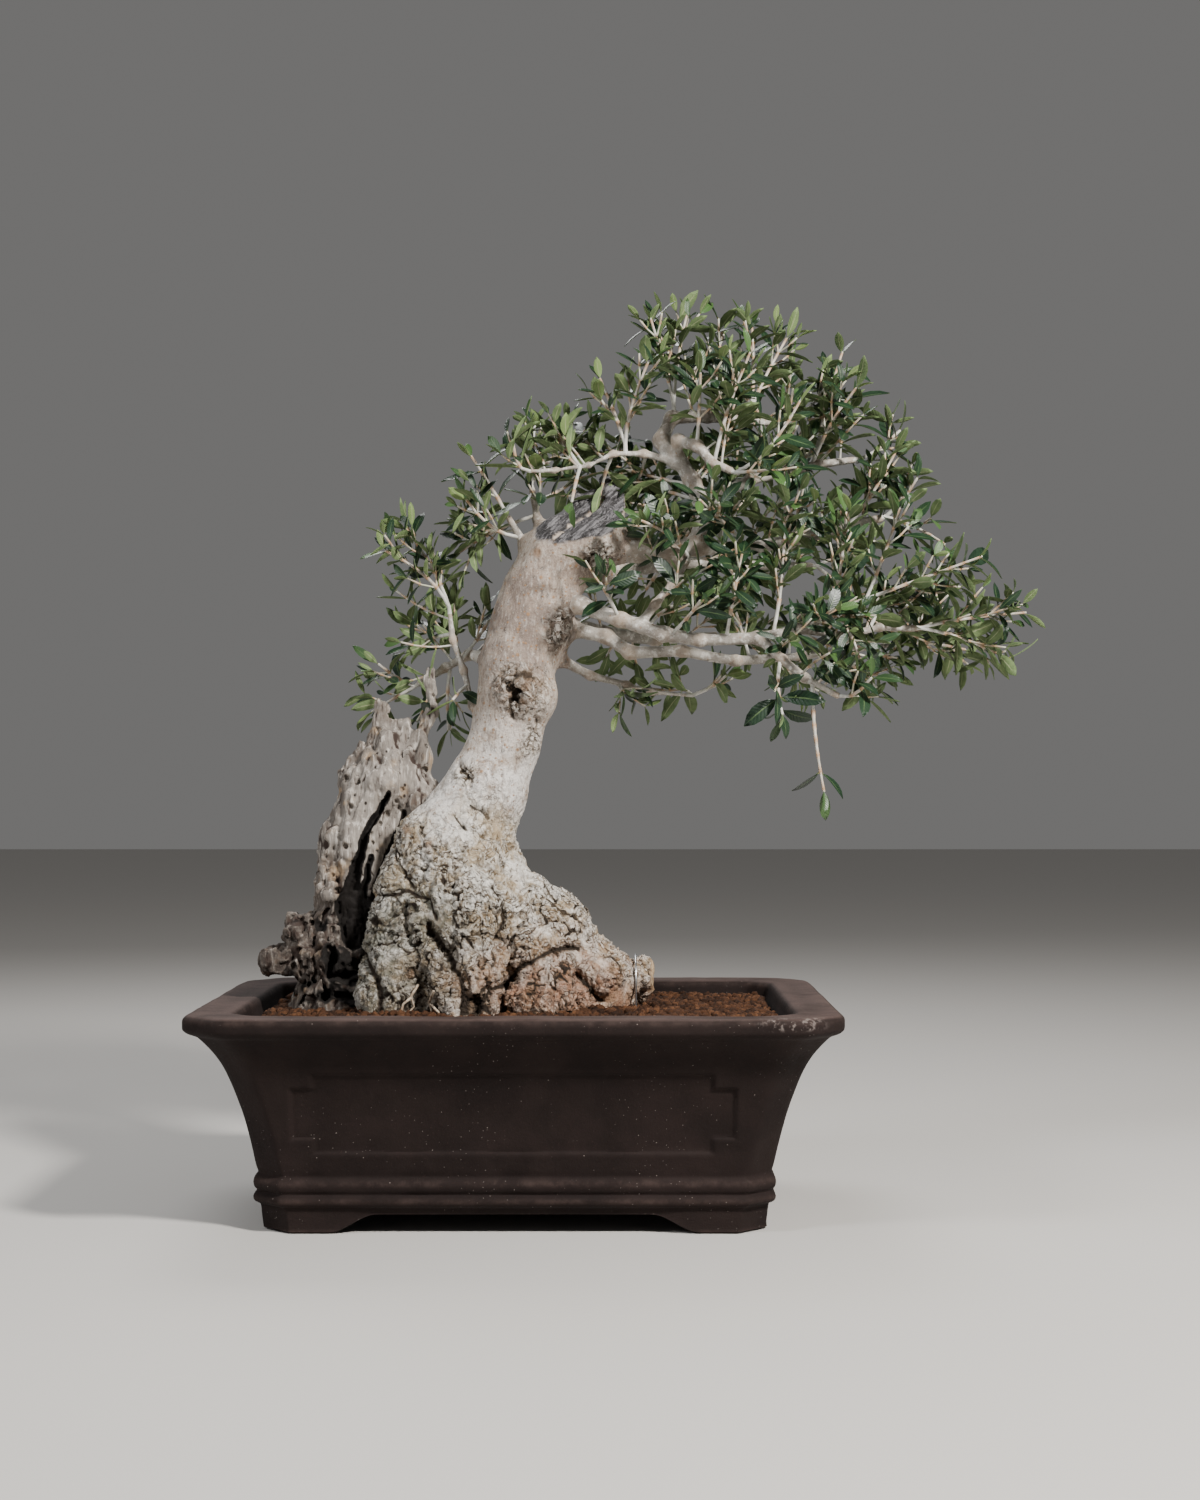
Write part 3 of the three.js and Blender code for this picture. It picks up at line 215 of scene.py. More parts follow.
def pot_ring(half_length, half_depth, corner):
    """The outline of the pot at one height, a rectangle with cut and softened corners."""
    along = side_places(half_length - corner, PANEL["front"])
    aside = side_places(half_depth - corner, PANEL["side"])
    front = np.column_stack([along, np.full(len(along), -half_depth)])
    right = np.column_stack([np.full(len(aside), half_length), aside])
    across = np.array([0.03, 0.08, 0.16, 0.28, 0.42, 0.58, 0.72, 0.84, 0.92, 0.97])[:, None]
    sides = [front, right, -front, -right]
    parts = []
    for side, following in zip(sides, sides[1:] + sides[:1]):
        parts += [side, side[-1] + (following[0] - side[-1]) * across]
    ring = np.concatenate(parts)
    for _ in range(10):
        ring = (np.roll(ring, 1, axis=0) + 2 * ring + np.roll(ring, -1, axis=0)) / 4
    return ring


def ring_faces(rows, columns):
    """Quads between closed rings, from the first ring to the last, and a face over each of these two."""
    row, column = np.meshgrid(np.arange(rows - 1), np.arange(columns), indexing="ij")
    a = row * columns + column
    b = row * columns + (column + 1) % columns
    ring = np.arange(columns)[None]
    sides = np.stack([a, b, b + columns, a + columns], axis=-1).reshape(-1, 4)
    return sides, ring[:, ::-1], (rows - 1) * columns + ring


def set_inputs(node, inputs):
    """Sets a node's inputs by name or number, each to a value or another node's output."""
    for socket, value in inputs.items():
        if isinstance(value, bpy.types.NodeSocket):
            node.id_data.links.new(value, node.inputs[socket])
        else:
            node.inputs[socket].default_value = value


def add_node(tree, kind, inputs=None, **settings):
    made = tree.nodes.new(kind)
    for name, value in settings.items():
        setattr(made, name, value)
    set_inputs(made, inputs or {})
    return made


def start_material(name):
    """A new material, its node tree and the piece's own coordinates in metres."""
    material = bpy.data.materials.new(name)
    material.use_nodes = True
    return material, material.node_tree, add_node(material.node_tree, "ShaderNodeTexCoord").outputs["Object"]


def stretched(place, stretch):
    if stretch == (1, 1, 1):
        return place
    return add_node(place.id_data, "ShaderNodeMapping", {"Vector": place, "Scale": stretch}).outputs[0]


def mottle(place, wave, detail=3.0, rough=0.55, stretch=(1, 1, 1), bend=0.0):
    """Noise from 0 to 1 with features about one wave across, in millimetres."""
    return add_node(place.id_data, "ShaderNodeTexNoise", {
        "Vector": stretched(place, stretch), "Scale": 1 / (wave * MM), "Detail": detail,
        "Roughness": rough, "Distortion": bend}).outputs["Fac"]


def fade(value, low, high, to_low=0.0, to_high=1.0):
    """The value's range from low to high, eased to a new range."""
    return add_node(value.id_data, "ShaderNodeMapRange", {
        "Value": value, "From Min": low, "From Max": high, "To Min": to_low, "To Max": to_high},
        interpolation_type="SMOOTHSTEP").outputs[0]


def combined(operation, a, b=0.0):
    return add_node(a.id_data, "ShaderNodeMath", {0: a, 1: b}, operation=operation).outputs[0]


def times(*factors):
    """The first value times the others in turn."""
    return functools.reduce(lambda a, b: combined("MULTIPLY", a, b), factors)


def largest(*values):
    return functools.reduce(lambda a, b: combined("MAXIMUM", a, b), values)


def off(value, middle):
    """How far the value is from the middle."""
    return combined("ABSOLUTE", combined("SUBTRACT", value, middle))


def coated(tree, colour, *coats):
    """A colour with others laid over it in turn, each with its share. A colour is a triple or an output."""
    as_input = lambda colour: colour if isinstance(colour, bpy.types.NodeSocket) else (*colour, 1)
    for share, over in coats:
        colour = add_node(tree, "ShaderNodeMix", {0: share, 6: as_input(colour), 7: as_input(over)},
                          data_type="RGBA").outputs[2]
    return colour


def specks(place, cell, radius, share, stretch=(1, 1, 1)):
    """Small round spots, one in a share of the cells, from 0 outside to 1 inside."""
    pattern = add_node(place.id_data, "ShaderNodeTexVoronoi", {
        "Vector": stretched(place, stretch), "Scale": 1 / (cell * MM)})
    near = fade(pattern.outputs["Distance"], radius / cell, 0.4 * radius / cell)
    chosen = add_node(place.id_data, "ShaderNodeSeparateColor", {0: pattern.outputs["Color"]}).outputs[0]
    return times(near, combined("LESS_THAN", chosen, share))


def dress(material, colour, rough, shine=0.5, *bumps):
    """Gives the material its colour, roughness and shine, and bumps with their depths in millimetres."""
    tree = material.node_tree
    looks = {"Base Color": colour, "Roughness": rough, "Specular IOR Level": shine}
    for height, depth in bumps:
        below = {"Normal": looks["Normal"]} if "Normal" in looks else {}
        looks["Normal"] = add_node(tree, "ShaderNodeBump", {
            "Height": height, "Distance": depth * MM, "Strength": 1.0, **below}).outputs[0]
    set_inputs(tree.nodes["Principled BSDF"], looks)
    return material


SCUFF = (186, -170, 147)     # the middle of a patch on the lip that is rubbed pale


def stoneware_clay():
    material, tree, place = start_material("stoneware clay")
    height = add_node(tree, "ShaderNodeSeparateXYZ", {0: place}).outputs[2]
    grain = mottle(place, 1.6, 4, 0.7)
    # The rim gathers dust and lime from watering, and handling rubs the lip and the bands pale. Both also paint
    # light: a painted sheen on the flat rim top, and painted highlights where the lip and the bands catch the light.
    dust = times(fade(height, 0.1475, 0.1496), fade(mottle(place, 26, 6, 0.65), 0.25, 0.6, 0.45, 1))
    wear = largest(*[fade(off(height, z * MM), reach * MM, 0)
                     for z, reach in ((147, 4), (35, 4), (22.5, 3.5), (1, 3))])
    wear = times(wear, fade(mottle(place, 14, 5, 0.7), 0.4, 0.7, 0.08, 0.5))
    pale = times(specks(place, 2.9, 0.3, 0.6), fade(mottle(place, 45, 2), 0.42, 0.62))
    away = add_node(tree, "ShaderNodeVectorMath", {0: place, 1: placed(SCUFF)},
                    operation="DISTANCE").outputs["Value"]
    scuffed = times(fade(away, 30 * MM, 8 * MM), fade(height, 0.1405, 0.144),
                    fade(mottle(place, 5, 6, 0.75), 0.52, 0.6), 0.5)
    body = coated(
        tree, (0.0095, 0.0058, 0.0052),
        (fade(mottle(place, 55, 5, 0.6), 0.3, 0.7), (0.0175, 0.0110, 0.0098)),
        (fade(grain, 0.55, 0.8, 0, 0.5), (0.05, 0.033, 0.029)),
        (fade(grain, 0.42, 0.2, 0, 0.6), (0.007, 0.0046, 0.0042)),
        # Dust with a painted sheen on the rim top, then rubbed edges with painted highlights.
        (dust, (0.080, 0.054, 0.048)),
        (wear, (0.066, 0.044, 0.038)),
        (largest(specks(place, 6, 0.4, 0.45), pale), (0.32, 0.275, 0.25)),
        (scuffed, (0.28, 0.235, 0.215)))
    return dress(
        material, body, fade(grain, 0.3, 0.7, 0.72, 0.9), 0.16,
        (mottle(place, 7, 3, 0.6, bend=0.4), 0.35), (grain, 0.22))


def make_pot():
    rows = pot_profile()
    rings = np.array([pot_ring(POT_HALF_LENGTH - x, POT_HALF_DEPTH - y, corner) for _, x, y, corner in rows])
    count, columns = rings.shape[:2]
    height = np.repeat(rows[:, 0][:, None], columns, axis=1)
    ahead = np.roll(rings, -1, axis=1) - np.roll(rings, 1, axis=1)
    outward = np.stack([ahead[..., 1], -ahead[..., 0]], axis=-1)
    outward /= np.linalg.norm(outward, axis=-1, keepdims=True)
    x, y = rings[..., 0], rings[..., 1]
    on_front = np.abs(outward[..., 1]) > 0.9
    on_side = np.abs(outward[..., 0]) > 0.9
    is_outside = np.arange(count)[:, None] <= np.argmax(rows[:, 0] > 149.2)

    # The panels are cut back by a smooth step at their notched outline, with a fine groove inside it.
    place = np.where(on_front, np.abs(x), np.abs(y))
    beyond = place - np.where(on_front, PANEL["front"], PANEL["side"])
    middle, half = (PANEL["bottom"] + PANEL["top"]) / 2, (PANEL["top"] - PANEL["bottom"]) / 2
    above = np.abs(height - middle) - half
    notched = np.minimum(beyond + PANEL["notch_length"], above + PANEL["notch_height"])
    outline = np.maximum(np.maximum(beyond, above), notched)
    points = np.stack([x, y, height], axis=-1).reshape(-1, 3)
    uneven = lambda wave, shift, flat=1: noise(points * [1, 1, flat], wave, shift).reshape(x.shape)
    cut = PANEL["depth"] * smooth_step(0, PANEL["edge"] + 0.8 * (1 + uneven(38, 5)), -outline)
    cut += PANEL["groove"] * bell(outline + 1.2, 0.9)
    cut -= 0.35 * bell(outline - 2.2, 1.8)
    inward = np.where(is_outside & (on_front | on_side), cut, 0)

    # Pressing and drying leave broad hollows, and the bands and the lip were run along by hand.
    hollows = 0.45 * (1 + uneven(95, 2)) + 0.22 * (1 + uneven(24, 3)) + 0.1 * (1 + uneven(8, 4))
    inward += np.where(is_outside & (height > 2), hollows, 0)
    in_groove = bell(height - 27, 2.2) + bell(height - 39.5, 2.5)
    inward += is_outside * in_groove * (0.5 + 0.7 * uneven(17, 8))
    rings = rings - outward * inward[..., None]
    sagging = smooth_step(141, 149, height) * 0.4 * (1 + uneven(48, 6, 0))
    sagging += smooth_step(146, 149, height) * 0.16 * (1 + uneven(11, 7, 0))

    # Between the feet the bottom edge rises in low arches.
    foot = np.where(on_front, POT_ARCHES["front"] - np.abs(x), POT_ARCHES["side"] - np.abs(y))
    rise = POT_ARCHES["rise"] * smooth_step(0, POT_ARCHES["slope"], np.where(on_front | on_side, foot, 0))
    underside = POT_OUTSIDE[0][0]
    low = np.clip(1 - height / underside, 0, 1)
    height = height - sagging + np.where(height < underside, rise * low, 0)

    points = np.concatenate([rings, height[..., None]], axis=-1).reshape(-1, 3)
    pot = make_piece("stoneware_pot", points, *ring_faces(count, columns))

    drill = bmesh.new()
    for side in (-1, 1):
        bmesh.ops.create_cone(drill, cap_ends=True, segments=48, radius1=DRAIN_HOLE_RADIUS * MM,
                              radius2=DRAIN_HOLE_RADIUS * MM, depth=30 * MM,
                              matrix=Matrix.Translation(placed((side * DRAIN_HOLE_X, 0, 25))))
    drill_piece = add_object("drill", as_mesh(drill, bpy.data.meshes.new("drill")))
    hole = pot.modifiers.new("drain holes", "BOOLEAN")
    hole.operation, hole.solver, hole.object = "DIFFERENCE", "MANIFOLD", drill_piece
    finished = evaluated(pot)
    pot.modifiers.remove(hole)
    pot.data = finished
    bpy.data.objects.remove(drill_piece)
    finished.set_sharp_from_angle(angle=math.radians(50))
    finished.materials.clear()
    finished.materials.append(stoneware_clay())
    return pot


pot = make_pot()
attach(pot, "root")
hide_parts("pot")

# ---------------------------------------------------------------- drain meshes
# Two squares of moulded black plastic netting, laid loose on the pot's floor over the drain holes, so that
# water runs out and the soil stays in.

NET_HOLES = 9
NET_BAR = 1.1
NET_THICKNESS = 1.5


def make_net(name, node):
    low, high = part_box(node)
    middle = (np.array(low) + np.array(high)) / 2 - POT_MIDDLE
    middle /= MM
    half = (high.x - low.x) / 2 / MM
    pitch = (2 * half - NET_BAR) / NET_HOLES
    lines = np.sort(np.concatenate([[-half + step * pitch, -half + step * pitch + NET_BAR]
                                    for step in range(NET_HOLES + 1)]))
    side = len(lines)
    points = [(x, y, z) for z in (0.0, NET_THICKNESS) for y in lines for x in lines]
    at = lambda column, row, level: (level * side + row) * side + column
    faces = []
    is_hole = lambda column, row: column % 2 == 1 and row % 2 == 1
    for row in range(side - 1):
        for column in range(side - 1):
            if is_hole(column, row):
                continue
            corners = [(column, row), (column + 1, row), (column + 1, row + 1), (column, row + 1)]
            faces.append([at(*corner, 1) for corner in corners])
            faces.append([at(*corner, 0) for corner in corners[::-1]])
            beside = [(column, row - 1), (column + 1, row), (column, row + 1), (column - 1, row)]
            for (a, b), (c, r) in zip(zip(corners, corners[1:] + corners[:1]), beside):
                if not (0 <= c < side - 1 and 0 <= r < side - 1) or is_hole(c, r):
                    faces.append([at(*a, 0), at(*b, 0), at(*b, 1), at(*a, 1)])
    net = make_piece(name, np.array(points) + [middle[0], middle[1], low.z / MM], faces)
    net.data.set_sharp_from_angle(angle=math.radians(30))
    return net


def netting_plastic():
    material, tree, place = start_material("netting plastic")
    scuff = mottle(place, 3, 4, 0.6)
    colour = coated(tree, (0.012, 0.014, 0.016), (fade(scuff, 0.4, 0.7), (0.04, 0.045, 0.05)))
    return dress(material, colour, fade(scuff, 0.3, 0.7, 0.42, 0.62), 0.5, (scuff, 0.05))


netting = netting_plastic()
for side in ("left", "right"):
    net = make_net(f"drain_net_{side}", f"drain_mesh_{side}")
    net.data.materials.append(netting)
    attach(net, "root")
    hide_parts(f"drain_mesh_{side}")

# ---------------------------------------------------------------- live trunk
# The living wood of the tree: a leaning trunk on a broad burl with its roots, a slanted old saw cut on top and a
# sawn root stub on the right. It grew, so it is shaped as one soft field of round cones. The bark is almost
# smooth and cream-white above, and breaks into curled plates with dark cracks towards the roots.

# The chains of [x, y, z, radius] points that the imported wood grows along.
LIVE_WOOD = [
    [[58, 2, 520, 20], [49, -2, 490, 23], [27, 0, 471, 23.5], [13, 0, 446, 22.5], [5, 0, 419, 23.5],
     [-2, 0, 392, 25], [-4.5, 0, 365, 24], [-10, 0, 336, 22.5], [-26, 0, 297, 27.5], [-49, 0, 252, 43],
     [-54, 0, 222, 52], [-52, 0, 190, 56], [-46, 0, 120, 60]],
    [[-30, -6, 232, 34], [15, -8, 190, 36], [50, -10, 158, 31], [60, -8, 144, 26]],
    [[56, -10, 160, 20], [98, -8, 164, 12.5]],
    [[-40, -26, 205, 34], [-34, -54, 160, 25], [-30, -64, 136, 20]],
    [[-82, -20, 190, 30], [-92, -46, 148, 23]],
    [[5, -24, 188, 28], [20, -52, 148, 24]],
    [[-45, 28, 210, 34], [-40, 54, 160, 28], [-38, 64, 136, 24]],
    [[-5, 25, 195, 28], [25, 46, 146, 20]],
    [[-85, 28, 190, 26], [-100, 48, 146, 20]],
    [[4, -18, 378, 12], [10, -14, 368, 16]],
]
LIVE_BLEND = 14
# The corners of the block that the trunk is carved from, and of its parts with the cut top and the root stub.
TRUNK_BOX = ([-150, -98, 126], [104, 98, 532])
TOP_BOX = ([-30, -60, 440], [110, 60, 532])
STUB_BOX = ([84, -60, 126], [104, 60, 220])
TRUNK_CELL = 1.6
FINGER_ROOT = [[-60, -50, 192, 13], [-53, -69, 163, 8.5], [-45, -75, 146, 6.5], [-41, -78, 134, 6]]
ROOT_HOLLOWS = [([-70, -74, 146], [12, 15, 9]), ([-31, -80, 148], [6, 11, 9]), ([-62, -78, 160], [5, 9, 6])]
# Rough flaky patches on the smooth upper trunk, round the knot and the limbs' collars: middle and radius.
ROUGH_PATCHES = [([1, -26, 372], 21), ([32, -16, 416], 17), ([58, -18, 468], 14), ([-38, -20, 312], 10),
                 ([12, -18, 335], 13)]
LUMPS = {"waves": [(46, 3.2), (24, 1.8)], "smooth_above": 430, "fade_over": 160, "least": 0.25, "shift": 7}
WOOD_FOOT_Z = 132
STUB_CUT_X = 98
TOP_CUT_POINT = np.array([48, -24, 487])
TOP_CUT_NORMAL = np.array([-0.1, -0.64, 0.76]) / math.hypot(0.1, 0.64, 0.76)
KNOT = np.array([1, -26, 372])
FAR = 60.0               # the field's value well away from any wood
# Healed-over branch scars on the front: x, z, radius, and how far each swells out.
EYES = [[4, 212, 9, 1.2], [66, 172, 12, 3.4], [9, 161, 7, 1.5], [-74, 171, 13, 2.4], [-39, 211, 13, 1.8],
        [-77, 212, 12, 3.2], [-81, 272, 11, 1.8], [30, 168, 13, 2.8], [-24, 180, 10, 1.6], [-52, 241, 9, 1.2],
        [13, 472, 6, 2], [12, 434, 4, 1.2], [-64, 262, 7, 1.6], [-20, 256, 5, 0.8]]
# Folds between the swellings on the front: depth, width, and points in x and z.
CREASES = [
    [5, 3, [[-104, 222], [-95, 225], [-81, 228], [-62, 221], [-58, 209]]],
    [8, 4, [[-64, 205], [-60, 196], [-50, 184], [-41, 171], [-38, 158], [-38, 142]]],
    [2.5, 1.8, [[-104, 198], [-92, 200], [-81, 197], [-68, 199]]],
    [6, 4, [[-27, 150], [-20, 160], [-8, 163], [2, 174], [20, 184], [44, 188]]],
    [6, 3.5, [[44, 168], [54, 156], [60, 150]]],
    [3, 1.8, [[-47, 283], [-42, 276], [-37, 272]]],
    [3, 1.8, [[-34, 289], [-28, 285], [-23, 279]]],
    [4, 2.5, [[-89, 262], [-84, 246], [-80, 238], [-74, 230]]],
    [3.5, 2.5, [[-20, 232], [-12, 220], [-9, 206], [-16, 196]]],
    [6, 4, [[-96, 140], [-96, 160], [-108, 182]]],
    [3, 2.2, [[-36, 196], [-22, 199], [-8, 192]]],
    [3, 2.2, [[14, 240], [20, 226], [30, 214], [44, 205]]],
    [3, 2, [[14, 352], [11, 337], [10, 322], [5, 306]]],
    [2.5, 1.7, [[8, 346], [5, 330]]],
    [3, 2.2, [[-46, 322], [-41, 314], [-36, 308]]],
    [2, 2, [[-18, 378], [-13, 388], [-4, 391]]],
    [3, 1.9, [[-8, 366], [-5, 359], [-3, 351]]],
    [2.6, 1.7, [[4, 381], [12, 380], [19, 374]]],
    [2, 1.5, [[12, 388], [20, 385], [24, 378]]],
]
KNOT_HOLES = [(KNOT + [-1, -5, 0], [7, 4, 3]), (KNOT + [-4, -5, -5], [3.2, 4, 5]), (KNOT + [8, -4, 2], [6, 3, 1.8]),
              (KNOT + [-9, -4, 5], [3, 3, 1.5])]
BORED_HOLE = (np.array([-26, -37, 286]), [2.2, 5, 2.8])
# Where lichen and rusty stains lie on the bark: middle and radii. The lichen is dark enough to paint the shade
# on the left lower lobe too.
LICHEN_ZONE = ([-78, -56, 180], [40, 60, 46])
RUST_ZONE = ([32, -45, 150], [76, 75, 38])
TOP_CHECK = [[25, 484], [36, 494], [50, 503], [63, 515]]    # the deep split across the cut top, in x and z
TOP_CHECK_RADII = [1.7, 4, 3.4]

# Limbs as chains too, each from inside the wood that carries it.
LIMBS = {
    "apex": [[55, 0, 477, 14], [87, -6, 476, 9], [111, -10, 473, 8], [129, -6, 479, 7.4], [136, 0, 502, 6.4],
     [126, 2, 526, 6], [114, 2, 547, 5.4]],
    "crown_back": [[114, 1, 541, 5.6], [103, 4, 557, 5.4], [111, 8, 574, 4.9], [137, 14, 576, 4.2],
     [162, 22, 575, 3.5], [189, 30, 573, 2.8]],
    "crown_arch": [[114, 2, 541, 4.3], [115, -8, 555, 4.3], [129, -18, 550, 3.8], [139, -24, 537, 3.2],
     [152, -32, 530, 2.5]],
    "crown_left": [[116, 2, 540, 2.5], [90, -4, 546, 2.4], [68, -9, 545, 2], [50, -14, 536, 1.7],
     [26, -18, 532, 1.5], [8, -20, 531, 1.3]],
    "crown_right": [[136, 0, 500, 5.4], [150, 8, 519, 4.6], [169, 14, 529, 4], [192, 18, 535, 3.6],
     [220, 18, 541, 3], [246, 16, 544, 2.4]],
    "mid_right": [[127, -7, 478, 6.2], [161, 2, 476, 5.2], [198, 8, 483, 4.6], [235, 10, 493, 3.8],
     [264, 8, 500, 3]],
    "low_front": [[18, 0, 439, 10.4], [44, -18, 434, 6.1], [73, -28, 423, 5.1], [104, -33, 412, 5],
     [130, -35, 408, 4.3], [173, -38, 409, 4.2], [205, -36, 417, 3.3], [226, -32, 427, 2.7],
     [246, -28, 436, 2.2]],
    "low_drop": [[171, -38, 410, 3.9], [188, -50, 393, 3.1], [203, -56, 380, 2.7], [226, -62, 367, 2.1]],
    "low_rise": [[86, -31, 418, 3.4], [98, -27, 434, 2.8], [110, -21, 449, 2.5], [121, -15, 465, 2.2]],
    "low_back": [[14, 4, 404, 10.1], [40, 10, 418, 5.5], [63, 9, 413, 5], [80, 6, 401, 4.7], [118, 4, 402, 4.2],
     [158, 9, 395, 3.5], [207, 24, 399, 2.9], [241, 32, 404, 2.4], [275, 38, 408, 1.8]],
    "far_right": [[203, -36, 416, 3.2], [231, -26, 411, 2.8], [261, -18, 418, 2.5], [287, -12, 418, 2.2]],
    "under": [[14, 12, 404, 4.6], [51, 24, 385, 2.8], [78, 30, 378, 2.4], [96, 34, 373, 2], [123, 40, 371, 1.5]],
    "back_right": [[34, 12, 453, 10.8], [73, 48, 465, 6.3], [119, 76, 474, 5], [170, 94, 473, 3.8],
     [221, 98, 473, 2.7]],
    "back_low": [[22, 12, 424, 9], [58, 54, 419, 5.5], [100, 84, 415, 4.4], [147, 100, 419, 3.2]],
    "crown_rear": [[117, 75, 473, 5], [135, 84, 507, 4.4], [156, 84, 539, 3.8], [185, 78, 560, 3]],
    "left_low": [[-19, 4, 350, 5.1], [-36, 15, 362, 2.5], [-43, 24, 389, 2.2], [-51, 22, 411, 2],
     [-53, 18, 431, 1.8]],
    "left_rear": [[-16, 8, 394, 8], [-39, 34, 401, 3.5], [-58, 48, 392, 2.9], [-78, 54, 380, 2.3]],
    "left_top": [[20, 6, 467, 8], [2, 6, 482, 3], [-9, 2, 500, 2.3]],
    "left_up": [[25, 12, 478, 8], [12, 17, 500, 3], [8, 16, 522, 2.3]],
}
TRUNK_LIMBS = ["apex", "low_front", "low_back", "under", "back_right", "back_low", "left_low", "left_rear",
               "left_top", "left_up"]


class Field:
    """Distances to a surface on a grid of points, negative inside."""

    def __init__(self, low, high, cell):
        self.low, self.cell = np.array(low, dtype=float), cell
        counts = np.ceil((np.array(high) - low) / cell).astype(int) + 1
        self.values = np.full(counts, FAR, dtype=np.float32)

    def block(self, low, high):
        """The part of the grid between two corners, and its points' x, y and z."""
        first = np.clip(np.floor((np.array(low) - self.low) / self.cell).astype(int), 0, self.values.shape)
        last = np.clip(np.ceil((np.array(high) - self.low) / self.cell).astype(int) + 1, 0, self.values.shape)
        slices = tuple(slice(a, b) for a, b in zip(first, last))
        axes = [self.low[axis] + self.cell * np.arange(first[axis], last[axis]) for axis in range(3)]
        return slices, np.meshgrid(*axes, indexing="ij", sparse=True)

    def add_chain(self, chain, reach, room=24):
        """Joins round cones to the solid along a chain of points and radii, softly over the given reach."""
        chain = np.array(chain, dtype=float)
        for start, end in zip(chain, chain[1:]):
            margin = max(start[3], end[3]) + room
            slices, axes = self.block(np.minimum(start, end)[:3] - margin, np.maximum(start, end)[:3] + margin)
            self.values[slices] = smooth_less(self.values[slices], cone_distance(axes, start, end), reach)

    def cut(self, low, high, outside, soft=1e-6):
        """Takes off the part between two corners for which a function of the points isn't negative."""
        slices, axes = self.block(low, high)
        grid = np.stack(np.broadcast_arrays(*axes), axis=-1)
        away = outside(grid.reshape(-1, 3)).reshape(grid.shape[:3])
        self.values[slices] = -smooth_less(-self.values[slices], -away, soft)

    def near(self, band):
        """The grid indices near the surface, and their points."""
        index = np.nonzero(np.abs(self.values) < band)
        return index, self.low + self.cell * np.stack(index, axis=1)

    def carve(self, centre, radius, soft=1.0):
        """Takes a round pit out of the solid. The radius is one length, or one for each axis."""
        radius = np.broadcast_to(radius, 3)
        slices, axes = self.block(centre - radius - 4, centre + radius + 4)
        away = sum(((axis - middle) / size) ** 2 for axis, middle, size in zip(axes, centre, radius))
        pit = (np.sqrt(away) - 1) * radius.min()
        self.values[slices] = -smooth_less(-self.values[slices], pit, soft)

    def surface(self):
        """The closed surface as points and quads."""
        grid = openvdb.FloatGrid(FAR)
        grid.copyFromArray(np.ascontiguousarray(self.values))
        points, quads = grid.convertToQuads(isovalue=0.0)
        return points * self.cell + self.low, quads


def cone_distance(axes, start, end):
    along = end[:3] - start[:3]
    offset = [axis - origin for axis, origin in zip(axes, start)]
    share = np.clip(sum(o * a for o, a in zip(offset, along)) / (along @ along), 0, 1)
    away = np.sqrt(sum((o - a * share) ** 2 for o, a in zip(offset, along)))
    return away - (start[3] + (end[3] - start[3]) * share)


def smooth_less(a, b, reach):
    overlap = np.maximum(reach - np.abs(a - b), 0) / reach
    return np.minimum(a, b) - overlap * overlap * reach / 4


def cell_borders(points, size, stretch=(1, 1, 1)):
    """How far each point is from the border between random cells, as a share of their size, and a cell value."""
    scaled = points / (size * np.array(stretch))
    base = np.floor(scaled)
    nearest, second = np.full(len(points), 9.0), np.full(len(points), 9.0)
    value = np.zeros(len(points))
    for offset in itertools.product((-1, 0, 1), repeat=3):
        cell = base + offset
        jitter = np.stack([lattice_value(cell[:, 0] + 31 * axis, cell[:, 1], cell[:, 2]) for axis in range(3)], axis=1)
        away = np.linalg.norm(cell + 0.5 + 0.46 * jitter - scaled, axis=1)
        closer = away < nearest
        second = np.where(closer, nearest, np.minimum(second, away))
        value = np.where(closer, lattice_value(cell[:, 0], cell[:, 1] + 57, cell[:, 2]), value)
        nearest = np.minimum(nearest, away)
    return second - nearest, value


def warped(points, wave, amount):
    """The points pushed about by noise, for patterns that wander."""
    return points + amount * np.stack([noise(points, wave, shift) for shift in (11, 23, 37)], axis=1)


def lumps(points):
    rough = np.clip((LUMPS["smooth_above"] - points[:, 2]) / LUMPS["fade_over"], LUMPS["least"], 1)
    return rough * sum(height * noise(points, wave, LUMPS["shift"]) for wave, height in LUMPS["waves"])


def points_of(piece):
    """The mesh's points in millimetres round the pot's middle, and its point normals."""
    count = len(piece.data.vertices)
    points, normals = np.empty(count * 3, dtype=np.float32), np.empty(count * 3, dtype=np.float32)
    piece.data.vertices.foreach_get("co", points)
    piece.data.vertex_normals.foreach_get("vector", normals)
    return (points.reshape(-1, 3) - POT_MIDDLE) / MM, normals.reshape(-1, 3)


def move_points(piece, points):
    piece.data.vertices.foreach_set("co", (points * MM + POT_MIDDLE).astype(np.float32).ravel())
    piece.data.update()


def store(piece, **fields):
    """Stores numbers on the piece's points under the given names."""
    for name, values in fields.items():
        made = piece.data.attributes.new(name, "FLOAT", "POINT")
        made.data.foreach_set("value", np.asarray(values, dtype=np.float32))


def attribute(tree, name):
    return add_node(tree, "ShaderNodeAttribute", attribute_name=name).outputs["Fac"]


def distance_to_line(points, line):
    """The distance in x and z to a bent line, seen from the front."""
    nearest = np.full(len(points), FAR)
    for (x, z), (next_x, next_z) in zip(line, line[1:]):
        run = np.array([next_x - x, next_z - z], dtype=float)
        offset = np.stack([points[:, 0] - x, points[:, 2] - z], axis=1)
        share = np.clip(offset @ run / (run @ run), 0, 1)
        nearest = np.minimum(nearest, np.linalg.norm(offset - share[:, None] * run, axis=1))
    return nearest


def above_top_cut(points):
    return (points - TOP_CUT_POINT) @ TOP_CUT_NORMAL


